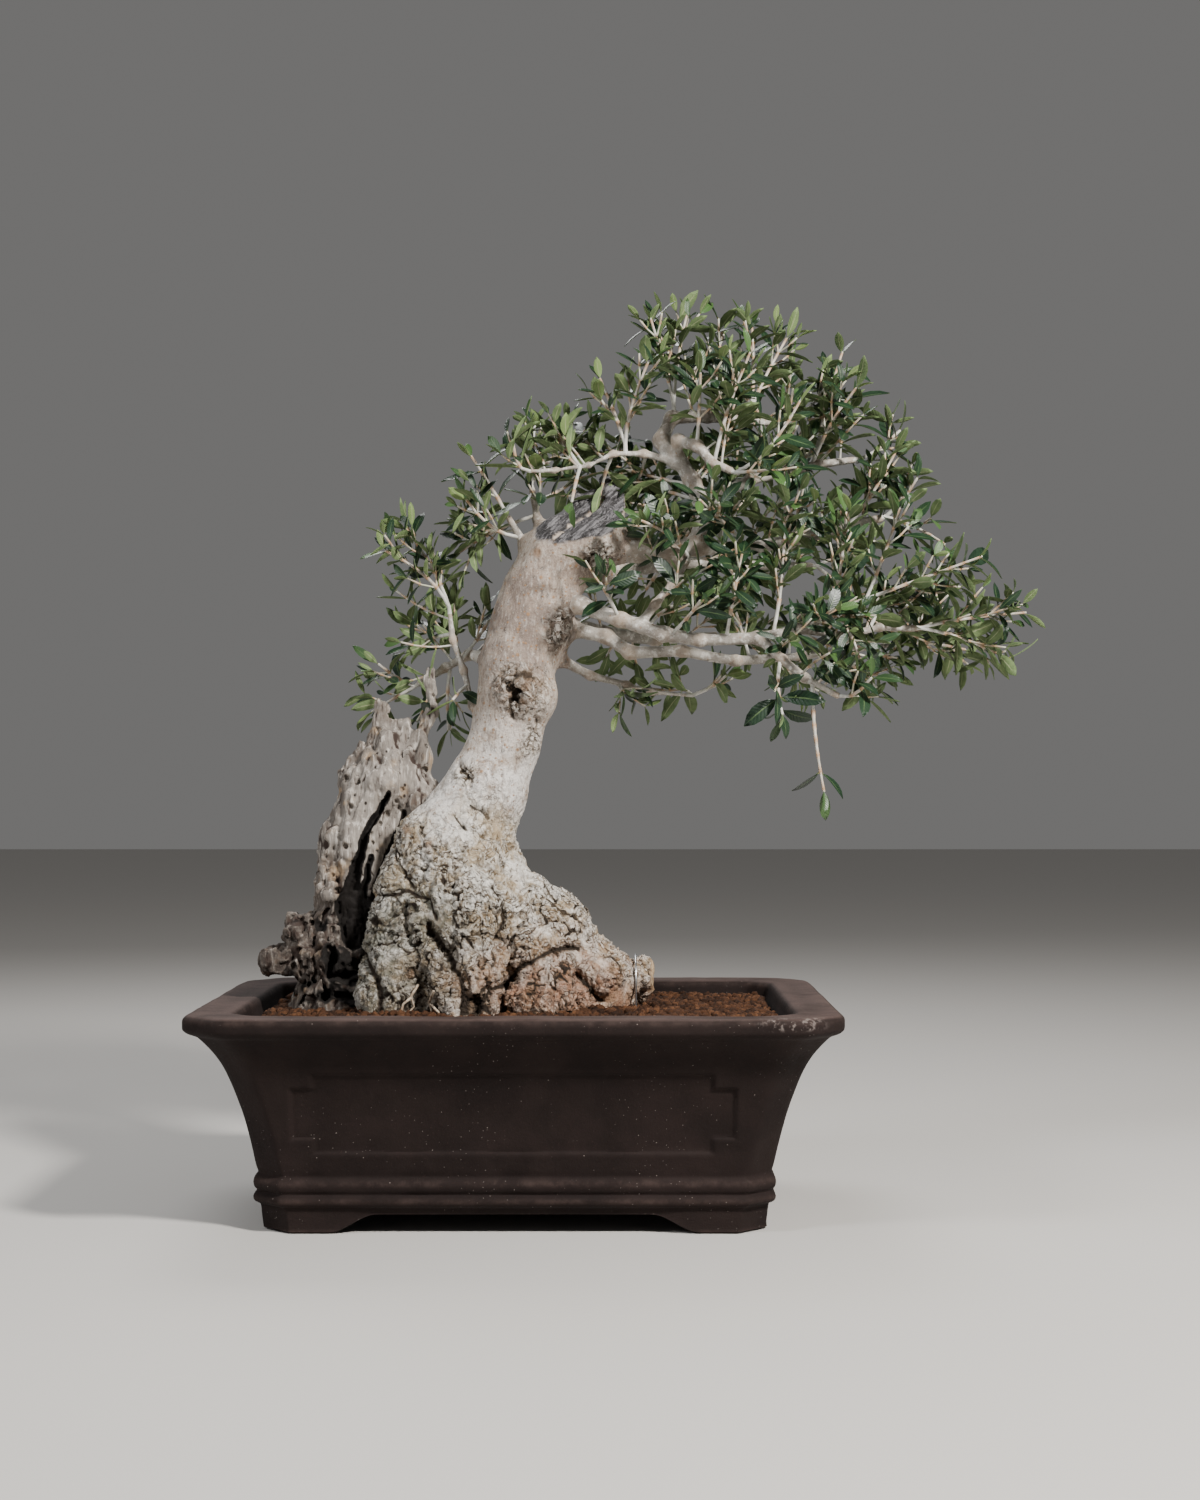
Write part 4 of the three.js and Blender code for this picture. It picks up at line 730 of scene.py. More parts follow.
def above_torn_cut(points):
    """The height over the cut as it is now: torn along its fibres, hollow at the back and peaked on the right."""
    x, y, _ = points.T
    fibres = 1.2 * noise(points, (9, 9, 4), 12) + 0.8 * noise(points, (6, 5, 2.6), 14) + 1.6 * noise(points, 17, 15)
    fibres += 6 * smooth_step(50, 32, x) * smooth_step(-6, 7, y)
    fibres -= 7 * bell(x - 64, 6) * smooth_step(-8, 8, y) + 8 * bell(x - 40, 3.5) * smooth_step(6, 14, y)
    return above_top_cut(points) + fibres + 0.5


def foot_of(box):
    """What Field.cut needs to end the wood flat in the soil."""
    low, high = box
    return low, [*high[:2], WOOD_FOOT_Z + 3], lambda points: WOOD_FOOT_Z - points[:, 2]


def with_pits(distance, points, pits, soft):
    """The distances with round pits taken out, which have a centre and three radii each."""
    for centre, radius in pits:
        pit = (np.linalg.norm((points - centre) / radius, axis=1) - 1) * min(radius)
        distance = -smooth_less(-distance, pit, soft)
    return distance


def inside(points, zones, power=4, grow=0.0):
    """Almost 1 in any of the zones and falling to 0 past their radius. A zone is a centre and its radius or radii."""
    return np.max([bell(np.linalg.norm((points - centre) / (np.array(radius) + grow), axis=1), 1, power)
                   for centre, radius in zones], axis=0)


def seen_from_front(points):
    """How much each point is on the front, and the points pushed about for outlines that wander."""
    return smooth_step(-6, -20, points[:, 1]), warped(points, 11, 2.2)


def make_trunk():
    field = Field(*TRUNK_BOX, TRUNK_CELL)
    for chain in LIVE_WOOD:
        field.add_chain(chain, LIVE_BLEND)
    for name in TRUNK_LIMBS:
        # Each limb swells into a collar where it leaves the trunk.
        (*start, start_radius), (*end, end_radius) = LIMBS[name][:2]
        field.add_chain([[*start, 1.1 * start_radius], [*end, 0.86 * end_radius]], 13)
    field.add_chain(FINGER_ROOT, 5)
    index, points = field.near(12)
    burl = smooth_step(320, 225, points[:, 2])
    distance = field.values[index] + lumps(points)
    # Long folds and lumps on the burl, then the healed scars, each round a dimple, and the creases between them.
    folded = 1 - np.abs(noise(warped(points, 40, 7), (19, 19, 52), 2))
    distance += burl * 4.5 * np.maximum(folded - 0.72, 0) / 0.28
    distance += burl * (2.0 * noise(points, 14, 5) + 1.1 * noise(points, 6.5, 9))
    on_front, wandering = seen_from_front(points)
    for x, z, radius, swell in EYES:
        away = np.hypot(wandering[:, 0] - x, wandering[:, 2] - z)
        distance -= on_front * (swell * bell(away, radius) - 1.7 * bell(away, 2.1))
    for depth, width, line in CREASES:
        distance += on_front * 0.8 * depth * bell(distance_to_line(wandering, line), width)
    distance += (1 - burl) * (0.8 * noise(points, (15, 15, 34), 4) + 0.3 * noise(points, (6, 6, 12), 3))
    # A swollen ring stands round the knot.
    around_knot = np.linalg.norm((points - KNOT) / [1.15, 1, 1], axis=1)
    distance -= 2.6 * bell(around_knot - 12, 5) * (1 + 1.1 * noise(points, 6, 6))
    field.values[index] = with_pits(distance, warped(points, 10, 4), ROOT_HOLLOWS, 3)
    for centre, radius in KNOT_HOLES + [BORED_HOLE]:
        field.carve(centre, radius)

    # The cut top and the check across it, the worn end of the stub, and the flat foot.
    field.cut(*TOP_BOX, above_torn_cut)
    for (x, z), (next_x, next_z) in zip(TOP_CHECK, TOP_CHECK[1:]):
        for share in np.linspace(0, 1, 7):
            spot = np.array([x + (next_x - x) * share, 0, z + (next_z - z) * share])
            spot[1] = TOP_CUT_POINT[1] - above_top_cut(spot - [0, -TOP_CUT_POINT[1], 0]) / TOP_CUT_NORMAL[1]
            field.carve(spot, TOP_CHECK_RADII, 0.6)
    field.cut(*STUB_BOX, lambda points: points[:, 0] - STUB_CUT_X + 1 + 1.6 * noise(points, 7, 16), 5)
    field.cut(*foot_of(TRUNK_BOX))
    trunk = make_piece("olive_trunk", *field.surface())

    points, normals = points_of(trunk)
    height = points[:, 2]
    burl = smooth_step(345, 235, height)
    cut = smooth_step(2.6, 1.4, np.abs(above_torn_cut(points))) * smooth_step(-0.1, 0.25, normals @ TOP_CUT_NORMAL)
    stub = smooth_step(4, 2.5, STUB_CUT_X - points[:, 0]) * smooth_step(0.45, 0.75, normals[:, 0])
    foot = smooth_step(WOOD_FOOT_Z + 1, WOOD_FOOT_Z + 4, height)
    knotty = 0.95 * inside(points, ROUGH_PATCHES)
    # Plates of bark lie over thin curled layers. The patches of smooth bark have almost none.
    flaky = smooth_step(-0.3, 0.3, noise(points, 30, 21) + 0.9 * (burl - 0.5))
    rough = np.clip(burl * (0.5 + 0.5 * flaky) + knotty, 0.05, 1) * (1 - cut) * (1 - stub) * foot
    plates, plate_value = cell_borders(warped(warped(points, 17, 6), 6, 2.2), 17, (1, 1, 1.25))
    crack = bell(plates, 0.055) * smooth_step(-0.35, 0.2, noise(points, 21, 24))
    layer = layers(points)
    lip = layer ** 3 - smooth_step(0.22, 0, layer)
    on_front, wandering = seen_from_front(points)
    fold = np.max([on_front * min(1, 0.35 + depth / 6) * bell(distance_to_line(wandering, line), 0.6 * width)
                   for depth, width, line in CREASES], axis=0)
    ringed, eye = np.zeros(len(points)), np.zeros(len(points))
    uneven = 3.2 * noise(points, 9, 75) + 1.2 * noise(points, 4, 76)
    for x, z, radius, swell in EYES:
        away = np.hypot(points[:, 0] - x, 0.8 * (points[:, 2] - z)) + uneven
        ringed += on_front * bell(away, radius, 4) * np.sin(away * math.tau / 5.4 + swell)
        eye = np.maximum(eye, on_front * bell(away, 2.4) * (swell > 1.4))
    ringed *= smooth_step(-0.45, 0.25, noise(points, 11, 77))
    around_knot = np.linalg.norm((points - KNOT) / [1.25, 1.6, 1], axis=1) + 3 * noise(points, 7, 79)
    eye = np.maximum(eye, bell(around_knot, 13, 4) * smooth_step(-0.5, 0.3, noise(points, 4.5, 80)))
    push = rough * (1.7 * lip - 1.8 * crack + 0.9 * plate_value + 0.8 * ringed)
    push += (1 - cut) * (0.1 + 0.45 * rough) * noise(warped(points, 5, 1.2), (2.8, 2.8, 3.6), 31)
    # On the weathered cut the fibres stand in ridges, with cracks that run out from the heart.
    from_heart = points - (TOP_CUT_POINT + [4, 2, 4])
    turn = np.arctan2(from_heart[:, 0], from_heart[:, 1] + from_heart[:, 2])
    rays = 1 - np.abs(noise(np.stack([turn * 9, 0 * turn, 0 * turn], axis=1), 1.0, 5))
    push += cut * (0.5 * noise(points, (1.9, 3.4, 3.4), 33) - 1.9 * smooth_step(0.9, 1, rays))
    move_points(trunk, points + normals * push[:, None])

    # Dark cracks, and painted shade in the folds, the troughs of the scars' rings, under the curled layers and in the
    # scars' dimples.
    deep = np.maximum.reduce([0.95 * rough * crack, 0.6 * rough * smooth_step(0.26, 0.02, layer),
                              0.85 * rough * smooth_step(0, -0.9, ringed), 0.9 * fold * foot, 0.25 * eye])
    # The knot holes and root hollows are painted with shade, the holes darkest a little in front of their middles.
    pit = inside(points + [0, -2, 0], KNOT_HOLES, 3, 0.4)
    hollow = inside(warped(points, 10, 4), ROOT_HOLLOWS, 4, 1)
    # The split across the cut top is painted near black as its shade.
    split = bell(distance_to_line(points, TOP_CHECK), 1.8) * smooth_step(4, -2, np.abs(above_top_cut(points)) - 4)
    # Lichen on the left lower lobe, which also paints the shade there.
    lichen = 2.3 * inside(points, [LICHEN_ZONE], 2) * (0.9 + 0.5 * noise(points, 16, 41))
    rust = 1.5 * inside(points, [RUST_ZONE], 2) * (0.8 + 0.5 * noise(points, 12, 43))
    store(trunk, layer=layer, eye=eye, cut=cut, stub=stub, check=split * cut, rough=np.clip(rough, 0, 1),
          crevice=np.clip(deep + 0.8 * pit + hollow, 0, 1), lichen=np.clip(lichen, 0, 1), rust=np.clip(rust, 0, 1))
    return trunk


def layers(points):
    """How far up its curled layer of bark each point lies, from 0 at the foot to 1 at the lip."""
    swirl = noise(warped(points, 15, 5), 15, 71) + 0.35 * noise(points, 7, 73)
    return np.mod(2.6 * swirl, 1)


def olive_bark():
    material, tree, place = start_material("olive bark")
    height = add_node(tree, "ShaderNodeSeparateXYZ", {0: place}).outputs[2]
    crevice, cut, stub, rough, lichen, rust, eye, check, own_layer = (attribute(tree, name) for name in (
        "crevice", "cut", "stub", "rough", "lichen", "rust", "eye", "check", "layer"))
    cloud, fleck, fine = mottle(place, 32, 4, 0.6), mottle(place, 6, 5, 0.65), mottle(place, 1.5, 4, 0.7)
    wrinkle = mottle(place, 2.4, 4, 0.65, (1, 1, 0.3), 0.2)
    # The bark is palest where the trunk leaves the burl, pale bark with a painted highlight over it, and darker
    # under the limbs, where painted shade of the limbs lies over a little browner bark.
    # Pale bark with a painted highlight, in the band where the light falls brightest on the trunk.
    chalk = times(fade(height, 0.185, 0.235), fade(height, 0.375, 0.30),
                  fade(mottle(place, 18, 5, 0.65), 0.36, 0.52), 0.85)
    # Painted shade of the limbs and leaves, over bark that is a little browner there.
    shade = times(fade(height, 0.35, 0.41), fade(height, 0.475, 0.445, 0.25, 1),
                  fade(mottle(place, 24, 5, 0.65), 0.4, 0.56, 0.2, 0.8))
    # Lenticels are small corky dots, browner than the bark around them.
    corky = largest(specks(place, 4.2, 1.3, 0.55, (1, 1, 1.2)), specks(place, 8.5, 1.9, 0.4))
    corky = times(corky, largest(fade(rough, 0.65, 0.2), 0.35))
    # The scaly bark of the burl is white to cream, stained olive and tan.
    scaly = coated(
        tree, (0.42, 0.325, 0.205),
        (fade(mottle(place, 22, 4, 0.6), 0.41, 0.57), (0.79, 0.76, 0.70)),
        (fade(mottle(place, 8, 4, 0.65, bend=0.5), 0.52, 0.62, 0, 0.82), (0.25, 0.17, 0.085)))
    bark = coated(
        tree, (0.36, 0.285, 0.23),
        (fade(cloud, 0.35, 0.65), (0.47, 0.395, 0.33)),
        (fade(fleck, 0.52, 0.66, 0, 0.7), (0.66, 0.61, 0.545)),
        (fade(fleck, 0.44, 0.32, 0, 0.7), (0.20, 0.14, 0.098)),
        (chalk, (0.80, 0.775, 0.745)),
        (shade, (0.17, 0.128, 0.108)),
        (fade(wrinkle, 0.48, 0.36, 0, 0.5), (0.17, 0.12, 0.095)),
        (fade(wrinkle, 0.52, 0.7, 0, 0.4), (0.70, 0.655, 0.60)),
        (fade(fine, 0.46, 0.32, 0, 0.5), (0.13, 0.09, 0.068)),
        (fade(fine, 0.55, 0.7, 0, 0.4), (0.68, 0.61, 0.52)),
        (times(corky, 0.85), (0.31, 0.175, 0.085)),
        (times(fade(rough, 0.25, 0.65, 0, 0.9), fade(height, 0.34, 0.28)), scaly))
    # Old bark peels in thin curled layers, pale at the lip and with painted shade, dark brown, beneath each lip.
    layer = combined("FRACT", times(mottle(place, 13, 3, 0.55, bend=0.9), 5))
    curl = combined("FRACT", times(mottle(place, 7, 3, 0.6, bend=1.2), 5))
    peel = times(rough, fade(mottle(place, 19, 3), 0.34, 0.5, 0.35, 1))
    for own, depth in ((own_layer, 0.9), (layer, 0.85), (curl, 0.28)):
        bark = coated(
            tree, bark,
            (times(peel, fade(own, 0.42, 0.03, 0, depth)), (0.095, 0.058, 0.026)),
            (times(peel, fade(own, 0.55, 0.93, 0, 0.75 * depth)), (0.80, 0.765, 0.70)))
    stain = fade(combined("ADD", crevice, times(cloud, 0.5)), 0.5, 0.95)
    # Thin dark cracks wander between the flakes, and a painted shadow line runs along the foot of each curled layer.
    hair = fade(off(mottle(place, 5.5, 4, 0.65, (1, 1, 0.45), 0.6), 0.5), 0.03, 0.0)
    crack = largest(times(largest(fade(layer, 0.13, 0.02), fade(curl, 0.1, 0.0, 0, 0.3)), peel),
                    times(hair, fade(fleck, 0.5, 0.64, 0.04, 0.75)))
    # The cut top has weathered grey, with long checks along its slanting grain painted dark as their shade.
    slanted = add_node(tree, "ShaderNodeVectorRotate", {
        "Vector": place, "Axis": (0.56, -0.61, 0), "Angle": math.radians(56.6)}).outputs[0]
    split = fade(off(mottle(slanted, 6, 4, 0.6, (1, 1, 0.16)), 0.5), 0.045, 0.005)
    weathered = coated(
        tree, (0.036, 0.034, 0.036),
        (fade(mottle(slanted, 2.2, 5, 0.65, (1, 1, 0.14)), 0.36, 0.62), (0.19, 0.182, 0.188)),
        (times(split, 0.85), (0.015, 0.013, 0.013)))
    sawn = coated(tree, (0.50, 0.37, 0.23), (fade(mottle(place, 5, 3), 0.4, 0.6), (0.26, 0.165, 0.095)))
    bark = coated(
        tree, bark,
        (times(stain, times(rough, 0.6)), (0.20, 0.135, 0.058)),
        # Grey-green lichen, darkened to paint the shade on the left lower lobe as well.
        (times(lichen, fade(fleck, 0.36, 0.6, 0.9, 0.35), 0.92), (0.118, 0.122, 0.092)),
        (times(rust, fade(fleck, 0.3, 0.65, 0.95, 0.65)), (0.33, 0.165, 0.095)),
        (times(eye, 0.8), (0.20, 0.115, 0.062)),
        (times(crack, 0.92), (0.045, 0.028, 0.016)),
        # Painted shade, almost black, in the cracks, folds, pits and hollows.
        (fade(crevice, 0.25, 0.8), (0.028, 0.018, 0.011)),
        # The split across the cut is painted near black as shade.
        (cut, weathered), (check, (0.012, 0.011, 0.011)), (stub, sawn))
    return dress(
        material, bark, fade(fine, 0.3, 0.7, 0.72, 0.95), 0.3,
        (fleck, 0.9), (wrinkle, 0.7), (times(combined("ADD", layer, curl), peel), 1.2), (fine, 0.4),
        (combined("SUBTRACT", times(corky, 0.5), crack), 0.5))


bark = olive_bark()
trunk = make_trunk()
trunk.data.materials.append(bark)
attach(trunk, "root")
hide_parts("olive_tree_wood")

# ---------------------------------------------------------------- deadwood
# The dead half of the old base, a bare shell left of the live trunk that has weathered for decades. It is torn
# into spires at the top, ribbed along the grain, drilled by woodworm, and hollow and gnarled at the foot. Deep
# slots tear it open at the front, painted black inside as shade, and it runs into the living wood on its right.

DEAD_WOOD = [
    [[-128, 2, 136, 34], [-122, 6, 205, 27], [-112, 10, 260, 25], [-104, 14, 302, 23], [-100, 18, 332, 15]],
    [[-104, 18, 326, 12], [-104, 21, 362, 5.5]],
    [[-90, 17, 326, 12], [-87, 20, 344, 7]],
    [[-131, 2, 222, 21], [-131, 10, 262, 19]],
    [[-118, 12, 288, 20], [-122, 19, 310, 13]],
    [[-138, 0, 168, 30], [-160, -2, 198, 15]],
    [[-150, -4, 182, 19], [-182, -9, 176, 8]],
    [[-84, 12, 296, 18], [-76, 16, 328, 9.5], [-70, 18, 354, 7], [-66, 19, 388, 6]],
    [[-78, 16, 215, 28], [-74, 12, 290, 18]],
]
DEAD_BLEND = 9
DEADWOOD_BOX = ([-212, -90, 126], [-30, 90, 400])
DEADWOOD_CELL = 1.3
DEADWOOD_INSET = 5         # how deep the shell goes on inside the living wood
# The torn slot and a thinner split beside it, in x, z and half width, and how they are cut.
HOLLOW_SLOTS = [
    [[-95, 298, 0.4], [-102, 284, 1.4], [-111, 270, 1.8], [-116, 253, 2.4], [-121, 234, 4], [-125, 214, 6.5],
     [-119, 193, 8.5]],
    [[-84, 284, 0.4], [-88, 268, 1.2], [-97, 247, 1.6], [-102, 232, 2], [-106, 214, 3], [-111, 196, 5]],
    [[-108, 252, 0.4], [-110, 238, 1], [-114, 222, 2]],
]
SLOT_BACK = 8
SLOT_SOFT = 2.4
CAVITIES = [([-119, -20, 216], [7, 22, 18]), ([-117, -27, 194], [11, 13, 8]), ([-138, -27, 177], [3.5, 9, 10]),
            ([-128, -27, 166], [11, 9, 2.6]), ([-108, -32, 171], [7, 12, 7]), ([-152, -22, 160], [6, 8, 4]),
            ([-124, -32, 153], [9, 10, 5]),
            ([-168, -10, 168], [4, 7, 3]), ([-140, -28, 150], [6, 9, 4]), ([-145, -16, 204], [4, 6, 5])]
HOLLOW_FOOT = ([-119, -24, 168], [20, 40, 30])     # the hollow at the foot, painted near black as shade: middle and radii
WORM_HOLES = 170


def slot_distance(points):
    """How far each point is from the torn slots, seen from the front."""
    bent = warped(warped(points, (15, 15, 20), 3), 5, 1.4)
    nearest = np.full(len(points), FAR)
    for slot in HOLLOW_SLOTS:
        for (x, z, half), (next_x, next_z, next_half) in zip(slot, slot[1:]):
            start, end = np.array([x, 0, z, half], dtype=float), np.array([next_x, 0, next_z, next_half], dtype=float)
            nearest = np.minimum(nearest, cone_distance([bent[:, 0], 0 * bent[:, 0], points[:, 2]], start, end))
    return nearest


def ribs_and_rifts(points):
    """How near each point is to the ridge of a rib along the grain, from 0 to 1, and how far from a rift."""
    return (1 - np.abs(noise(warped(points, 26, 6), (8.5, 8.5, 46), 3)),
            np.abs(noise(warped(points, 9, 4), (9, 9, 13), 19)))


def make_deadwood():
    live, dead = Field(*DEADWOOD_BOX, DEADWOOD_CELL), Field(*DEADWOOD_BOX, DEADWOOD_CELL)
    for field, chains, reach in ((live, LIVE_WOOD, LIVE_BLEND), (dead, DEAD_WOOD, DEAD_BLEND)):
        for chain in chains:
            field.add_chain(chain, reach)
    index, points = dead.near(11)
    distance = dead.values[index]
    height = points[:, 2]
    gnarled = smooth_step(250, 190, height)
    distance = distance + lumps(points)
    # Ribs along the grain, gnarled knobs and deep rifts at the foot, ragged spires, the slots and the cavities.
    ribs, rifts = ribs_and_rifts(points)
    distance += 2.8 * np.maximum(ribs - 0.55, 0) / 0.45 * (1 - 0.5 * gnarled)
    distance += 2.1 * noise(points, (9, 9, 17), 6) + 1.2 * noise(points, 4.4, 8)
    knobs = np.abs(noise(warped(points, 15, 5), 14, 4))
    distance += gnarled * (7.5 * (0.22 - knobs) + 2.2 * noise(points, 8, 13) - 1.5)
    distance += smooth_step(268, 200, height) * 6 * bell(rifts, 0.11)
    torn = smooth_step(295, 345, height)
    distance += torn * (4 * noise(points, (6, 6, 14), 17) + 0.9)
    distance = -smooth_less(-distance, np.maximum(slot_distance(points), points[:, 1] - SLOT_BACK), SLOT_SOFT)
    dead.values[index] = with_pits(distance, warped(warped(points, 12, 5), 5, 2), CAVITIES, 2)
    dead.values = np.maximum(dead.values, -DEADWOOD_INSET - live.values)
    surface, _ = dead.surface()
    draw = np.array([lattice_value(step, 5.0, 9.0) for step in range(3 * WORM_HOLES)]) * 0.5 + 0.5
    for step in range(WORM_HOLES):
        spot = surface[int(draw[3 * step] * (len(surface) - 1))]
        size = 1.25 + 1.5 * draw[3 * step + 1] ** 3
        dead.carve(spot, [size, size + 2.5, size * (1 + 0.6 * draw[3 * step + 2])], 0.4)
    dead.cut(*foot_of(DEADWOOD_BOX))
    deadwood = make_piece("deadwood", *dead.surface())
    drop_crumbs(deadwood)

    points, normals = points_of(deadwood)
    grain = warped(points, 9, 1.5)
    splits = 1 - np.abs(noise(grain, (5, 5, 48), 23))
    split = smooth_step(0.86, 1, splits)
    honeycomb, _ = cell_borders(points, 3.6, (1, 1, 1.7))
    rotten = smooth_step(0, 0.5, noise(points, 24, 27)) + smooth_step(235, 180, points[:, 2])
    pocked = bell(honeycomb, 0.16) * np.clip(rotten, 0, 1)
    push = 0.45 * noise(grain, (2.4, 2.4, 9), 25) - 1.1 * split + 0.7 * pocked - 0.35
    move_points(deadwood, points + normals * push[:, None])
    ribs, rifts = ribs_and_rifts(points)
    rift = smooth_step(268, 200, points[:, 2]) * bell(rifts, 0.13)
    depth = points[:, 1]
    in_slot = smooth_step(2.5, 0.2, slot_distance(points)) * smooth_step(-22, -12, depth) * smooth_step(18, 10, depth)
    in_foot = inside(points, [HOLLOW_FOOT]) * smooth_step(-0.15, 0.3, noise(points, 8, 91))
    # The slots, the cavities and the hollow at the foot are painted near black as their shade.
    sooty = np.maximum.reduce([inside(warped(warped(points, 12, 5), 5, 2), CAVITIES, 4, 2.2), in_slot, in_foot])
    # The splits, the grooves along the grain and the rifts are stored to be painted dark as their shade.
    store(deadwood, crevice=np.clip(0.75 * split + 0.5 * smooth_step(0.84, 1, ribs) + 0.95 * rift, 0, 1),
          rotten=np.clip(rotten, 0, 1) * (1 - pocked), soot=np.clip(1.3 * sooty, 0, 1))
    return deadwood


def drop_crumbs(piece, fewest=900):
    """Drops the loose crumbs that carving leaves, all parts with fewer points than given."""
    mesh = bmesh.new()
    mesh.from_mesh(piece.data)
    seen, loose = set(), []
    for seed in mesh.verts:
        if seed in seen:
            continue
        group, queue = [], [seed]
        seen.add(seed)
        while queue:
            vertex = queue.pop()
            group.append(vertex)
            others = {edge.other_vert(vertex) for edge in vertex.link_edges} - seen
            seen |= others
            queue += others
        loose += group if len(group) < fewest else []
    bmesh.ops.delete(mesh, geom=loose, context="VERTS")
    as_mesh(mesh, piece.data)


def weathered_wood():
    material, tree, place = start_material("weathered deadwood")
    height = add_node(tree, "ShaderNodeSeparateXYZ", {0: place}).outputs[2]
    streak, fleck = mottle(place, 3.2, 5, 0.65, (1, 1, 0.16), 0.3), mottle(place, 4.5, 5, 0.7)
    rotten = times(attribute(tree, "rotten"), fade(fleck, 0.36, 0.6, 0.1, 0.75))
    # Painted shade: the wood darkens below about 245 mm, for the shade that lies on the foot.
    low = times(fade(height, 0.245, 0.19), fade(fleck, 0.38, 0.6, 0.94, 0.35))
    wood = coated(
        tree, (0.138, 0.118, 0.102),
        (fade(mottle(place, 30, 4, 0.6), 0.32, 0.68), (0.308, 0.277, 0.244)),
        (fade(streak, 0.5, 0.68, 0, 0.85), (0.60, 0.55, 0.495)),
        (fade(streak, 0.44, 0.3, 0, 0.75), (0.06, 0.042, 0.034)),
        (fade(mottle(place, 17, 3), 0.55, 0.72, 0, 0.6), (0.36, 0.24, 0.13)),
        (rotten, (0.10, 0.066, 0.046)),
        # Small near-black spots paint the shade inside little pits.
        (specks(place, 7, 1.5, 0.35, (1, 1, 0.8)), (0.02, 0.013, 0.01)),
        (low, (0.04, 0.029, 0.024)),
        # Painted shade in the splits, grooves and rifts.
        (fade(attribute(tree, "crevice"), 0.25, 0.9), (0.045, 0.03, 0.024)),
        # Painted shade, near black, deep in the slots, cavities and the hollow at the foot.
        (fade(attribute(tree, "soot"), 0.15, 0.7), (0.008, 0.006, 0.005)))
    return dress(
        material, wood, fade(fleck, 0.3, 0.7, 0.75, 0.96), 0.25,
        (streak, 0.9), (fleck, 0.7), (mottle(place, 1.2, 3, 0.7), 0.3))


deadwood = make_deadwood()
deadwood.data.materials.append(weathered_wood())
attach(deadwood, "root")
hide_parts("olive_tree_wood")

# ---------------------------------------------------------------- limbs
# The crooked limbs that all lean to the right, grown in one with the trunk. They were bent and cut back over the
# years, so each fork has a swollen collar. Their thin grey-cream bark has fine rings and corky brown dots.

LIMB_BLEND = 3.4
LIMB_CELL = 1.25


def make_limbs():
    chains = {name: np.array(points, dtype=float) for name, points in LIMBS.items()}
    every = np.concatenate(list(chains.values()))
    field = Field(every[:, :3].min(axis=0) - 18, every[:, :3].max(axis=0) + 12, LIMB_CELL)
    for chain in chains.values():
        field.add_chain(chain, LIMB_BLEND, 8)
        for knuckle in chain[1:-1]:
            # An old node stands out as a slight knuckle at each bend.
            wider = knuckle + [0, 0, 0, 0.07 * knuckle[3] + 0.1]
            field.add_chain([wider, wider + [0.1, 0.1, 0.1, 0]], 2, 8)
    index, points = field.near(3)
    field.values[index] += (0.42 * noise(points, 11, 51) + 0.24 * noise(points, 4.5, 53)
                            + 0.12 * noise(points, 2.4, 54))
    limbs = make_piece("limbs", *field.surface())
    drop_crumbs(limbs, 200)
    points, _ = points_of(limbs)
    nearest = np.full(len(points), FAR)
    for chain in chains.values():
        for knuckle in chain[1:]:
            nearest = np.minimum(nearest, np.linalg.norm(points - knuckle[:3], axis=1) - knuckle[3])
    store(limbs, node=smooth_step(4.5, 0.5, nearest))
    return limbs


def limb_bark():
    material, tree, place = start_material("limb bark")
    cloud, fleck, fine = mottle(place, 24, 4, 0.6), mottle(place, 4.5, 5, 0.65), mottle(place, 1.2, 4, 0.7)
    corky = specks(place, 4.4, 0.8, 0.45)
    bark = coated(
        tree, (0.265, 0.24, 0.21),
        (fade(cloud, 0.35, 0.65), (0.44, 0.41, 0.365)),
        (fade(fleck, 0.5, 0.64, 0, 0.8), (0.66, 0.64, 0.595)),
        (fade(fine, 0.46, 0.34, 0, 0.5), (0.17, 0.135, 0.108)),
        (fade(fleck, 0.44, 0.28, 0, 0.7), (0.155, 0.115, 0.08)),
        (times(attribute(tree, "node"), fade(cloud, 0.35, 0.6, 0.15, 0.7), 0.6), (0.36, 0.235, 0.14)),
        (times(corky, 0.7), (0.36, 0.19, 0.085)))
    return dress(
        material, bark, fade(fine, 0.3, 0.7, 0.6, 0.85), 0.35,
        (fleck, 0.5), (combined("ADD", fine, times(corky, 0.6)), 0.3))


limbs = make_limbs()
limbs.data.materials.append(limb_bark())
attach(limbs, "root")
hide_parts("olive_tree_wood")

# ---------------------------------------------------------------- soil
# Baked akadama clay, filled in round the roots to just below the rim and heaped a little towards the trunk. The
# bed is damp crumbled clay, painted darker than the grains for the shade in the gaps between them, and over it
# lie the loose rounded grains, no two alike.

SOIL = {"half_length": 190, "half_depth": 140, "edge": 138.5, "crown": 145, "relief": 2, "wave": 11}
BED_BELOW = 2.2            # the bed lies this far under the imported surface, with the grains on it
BED_HALF_LENGTH, BED_HALF_DEPTH, BED_CORNER = 185.3, 135.3, 16     # the pot's inside at the soil's height
WALL_GAP = 0.4
BED_RINGS, BED_EYE = 66, 0.012     # rings from the wall inwards, and the innermost as a share of the outline
BED_WALL, BED_TAPER = (34.5, 60, 90, 120), 0.0017     # heights down the wall, and how it narrows for each of them
GRAIN_FREE = {"wood": 0.6, "wall": 2.6}     # grains keep this far away
GRAIN_SPACING = 4.1
GRAIN_SIZES = (1.7, 4.4)   # smallest and largest radius


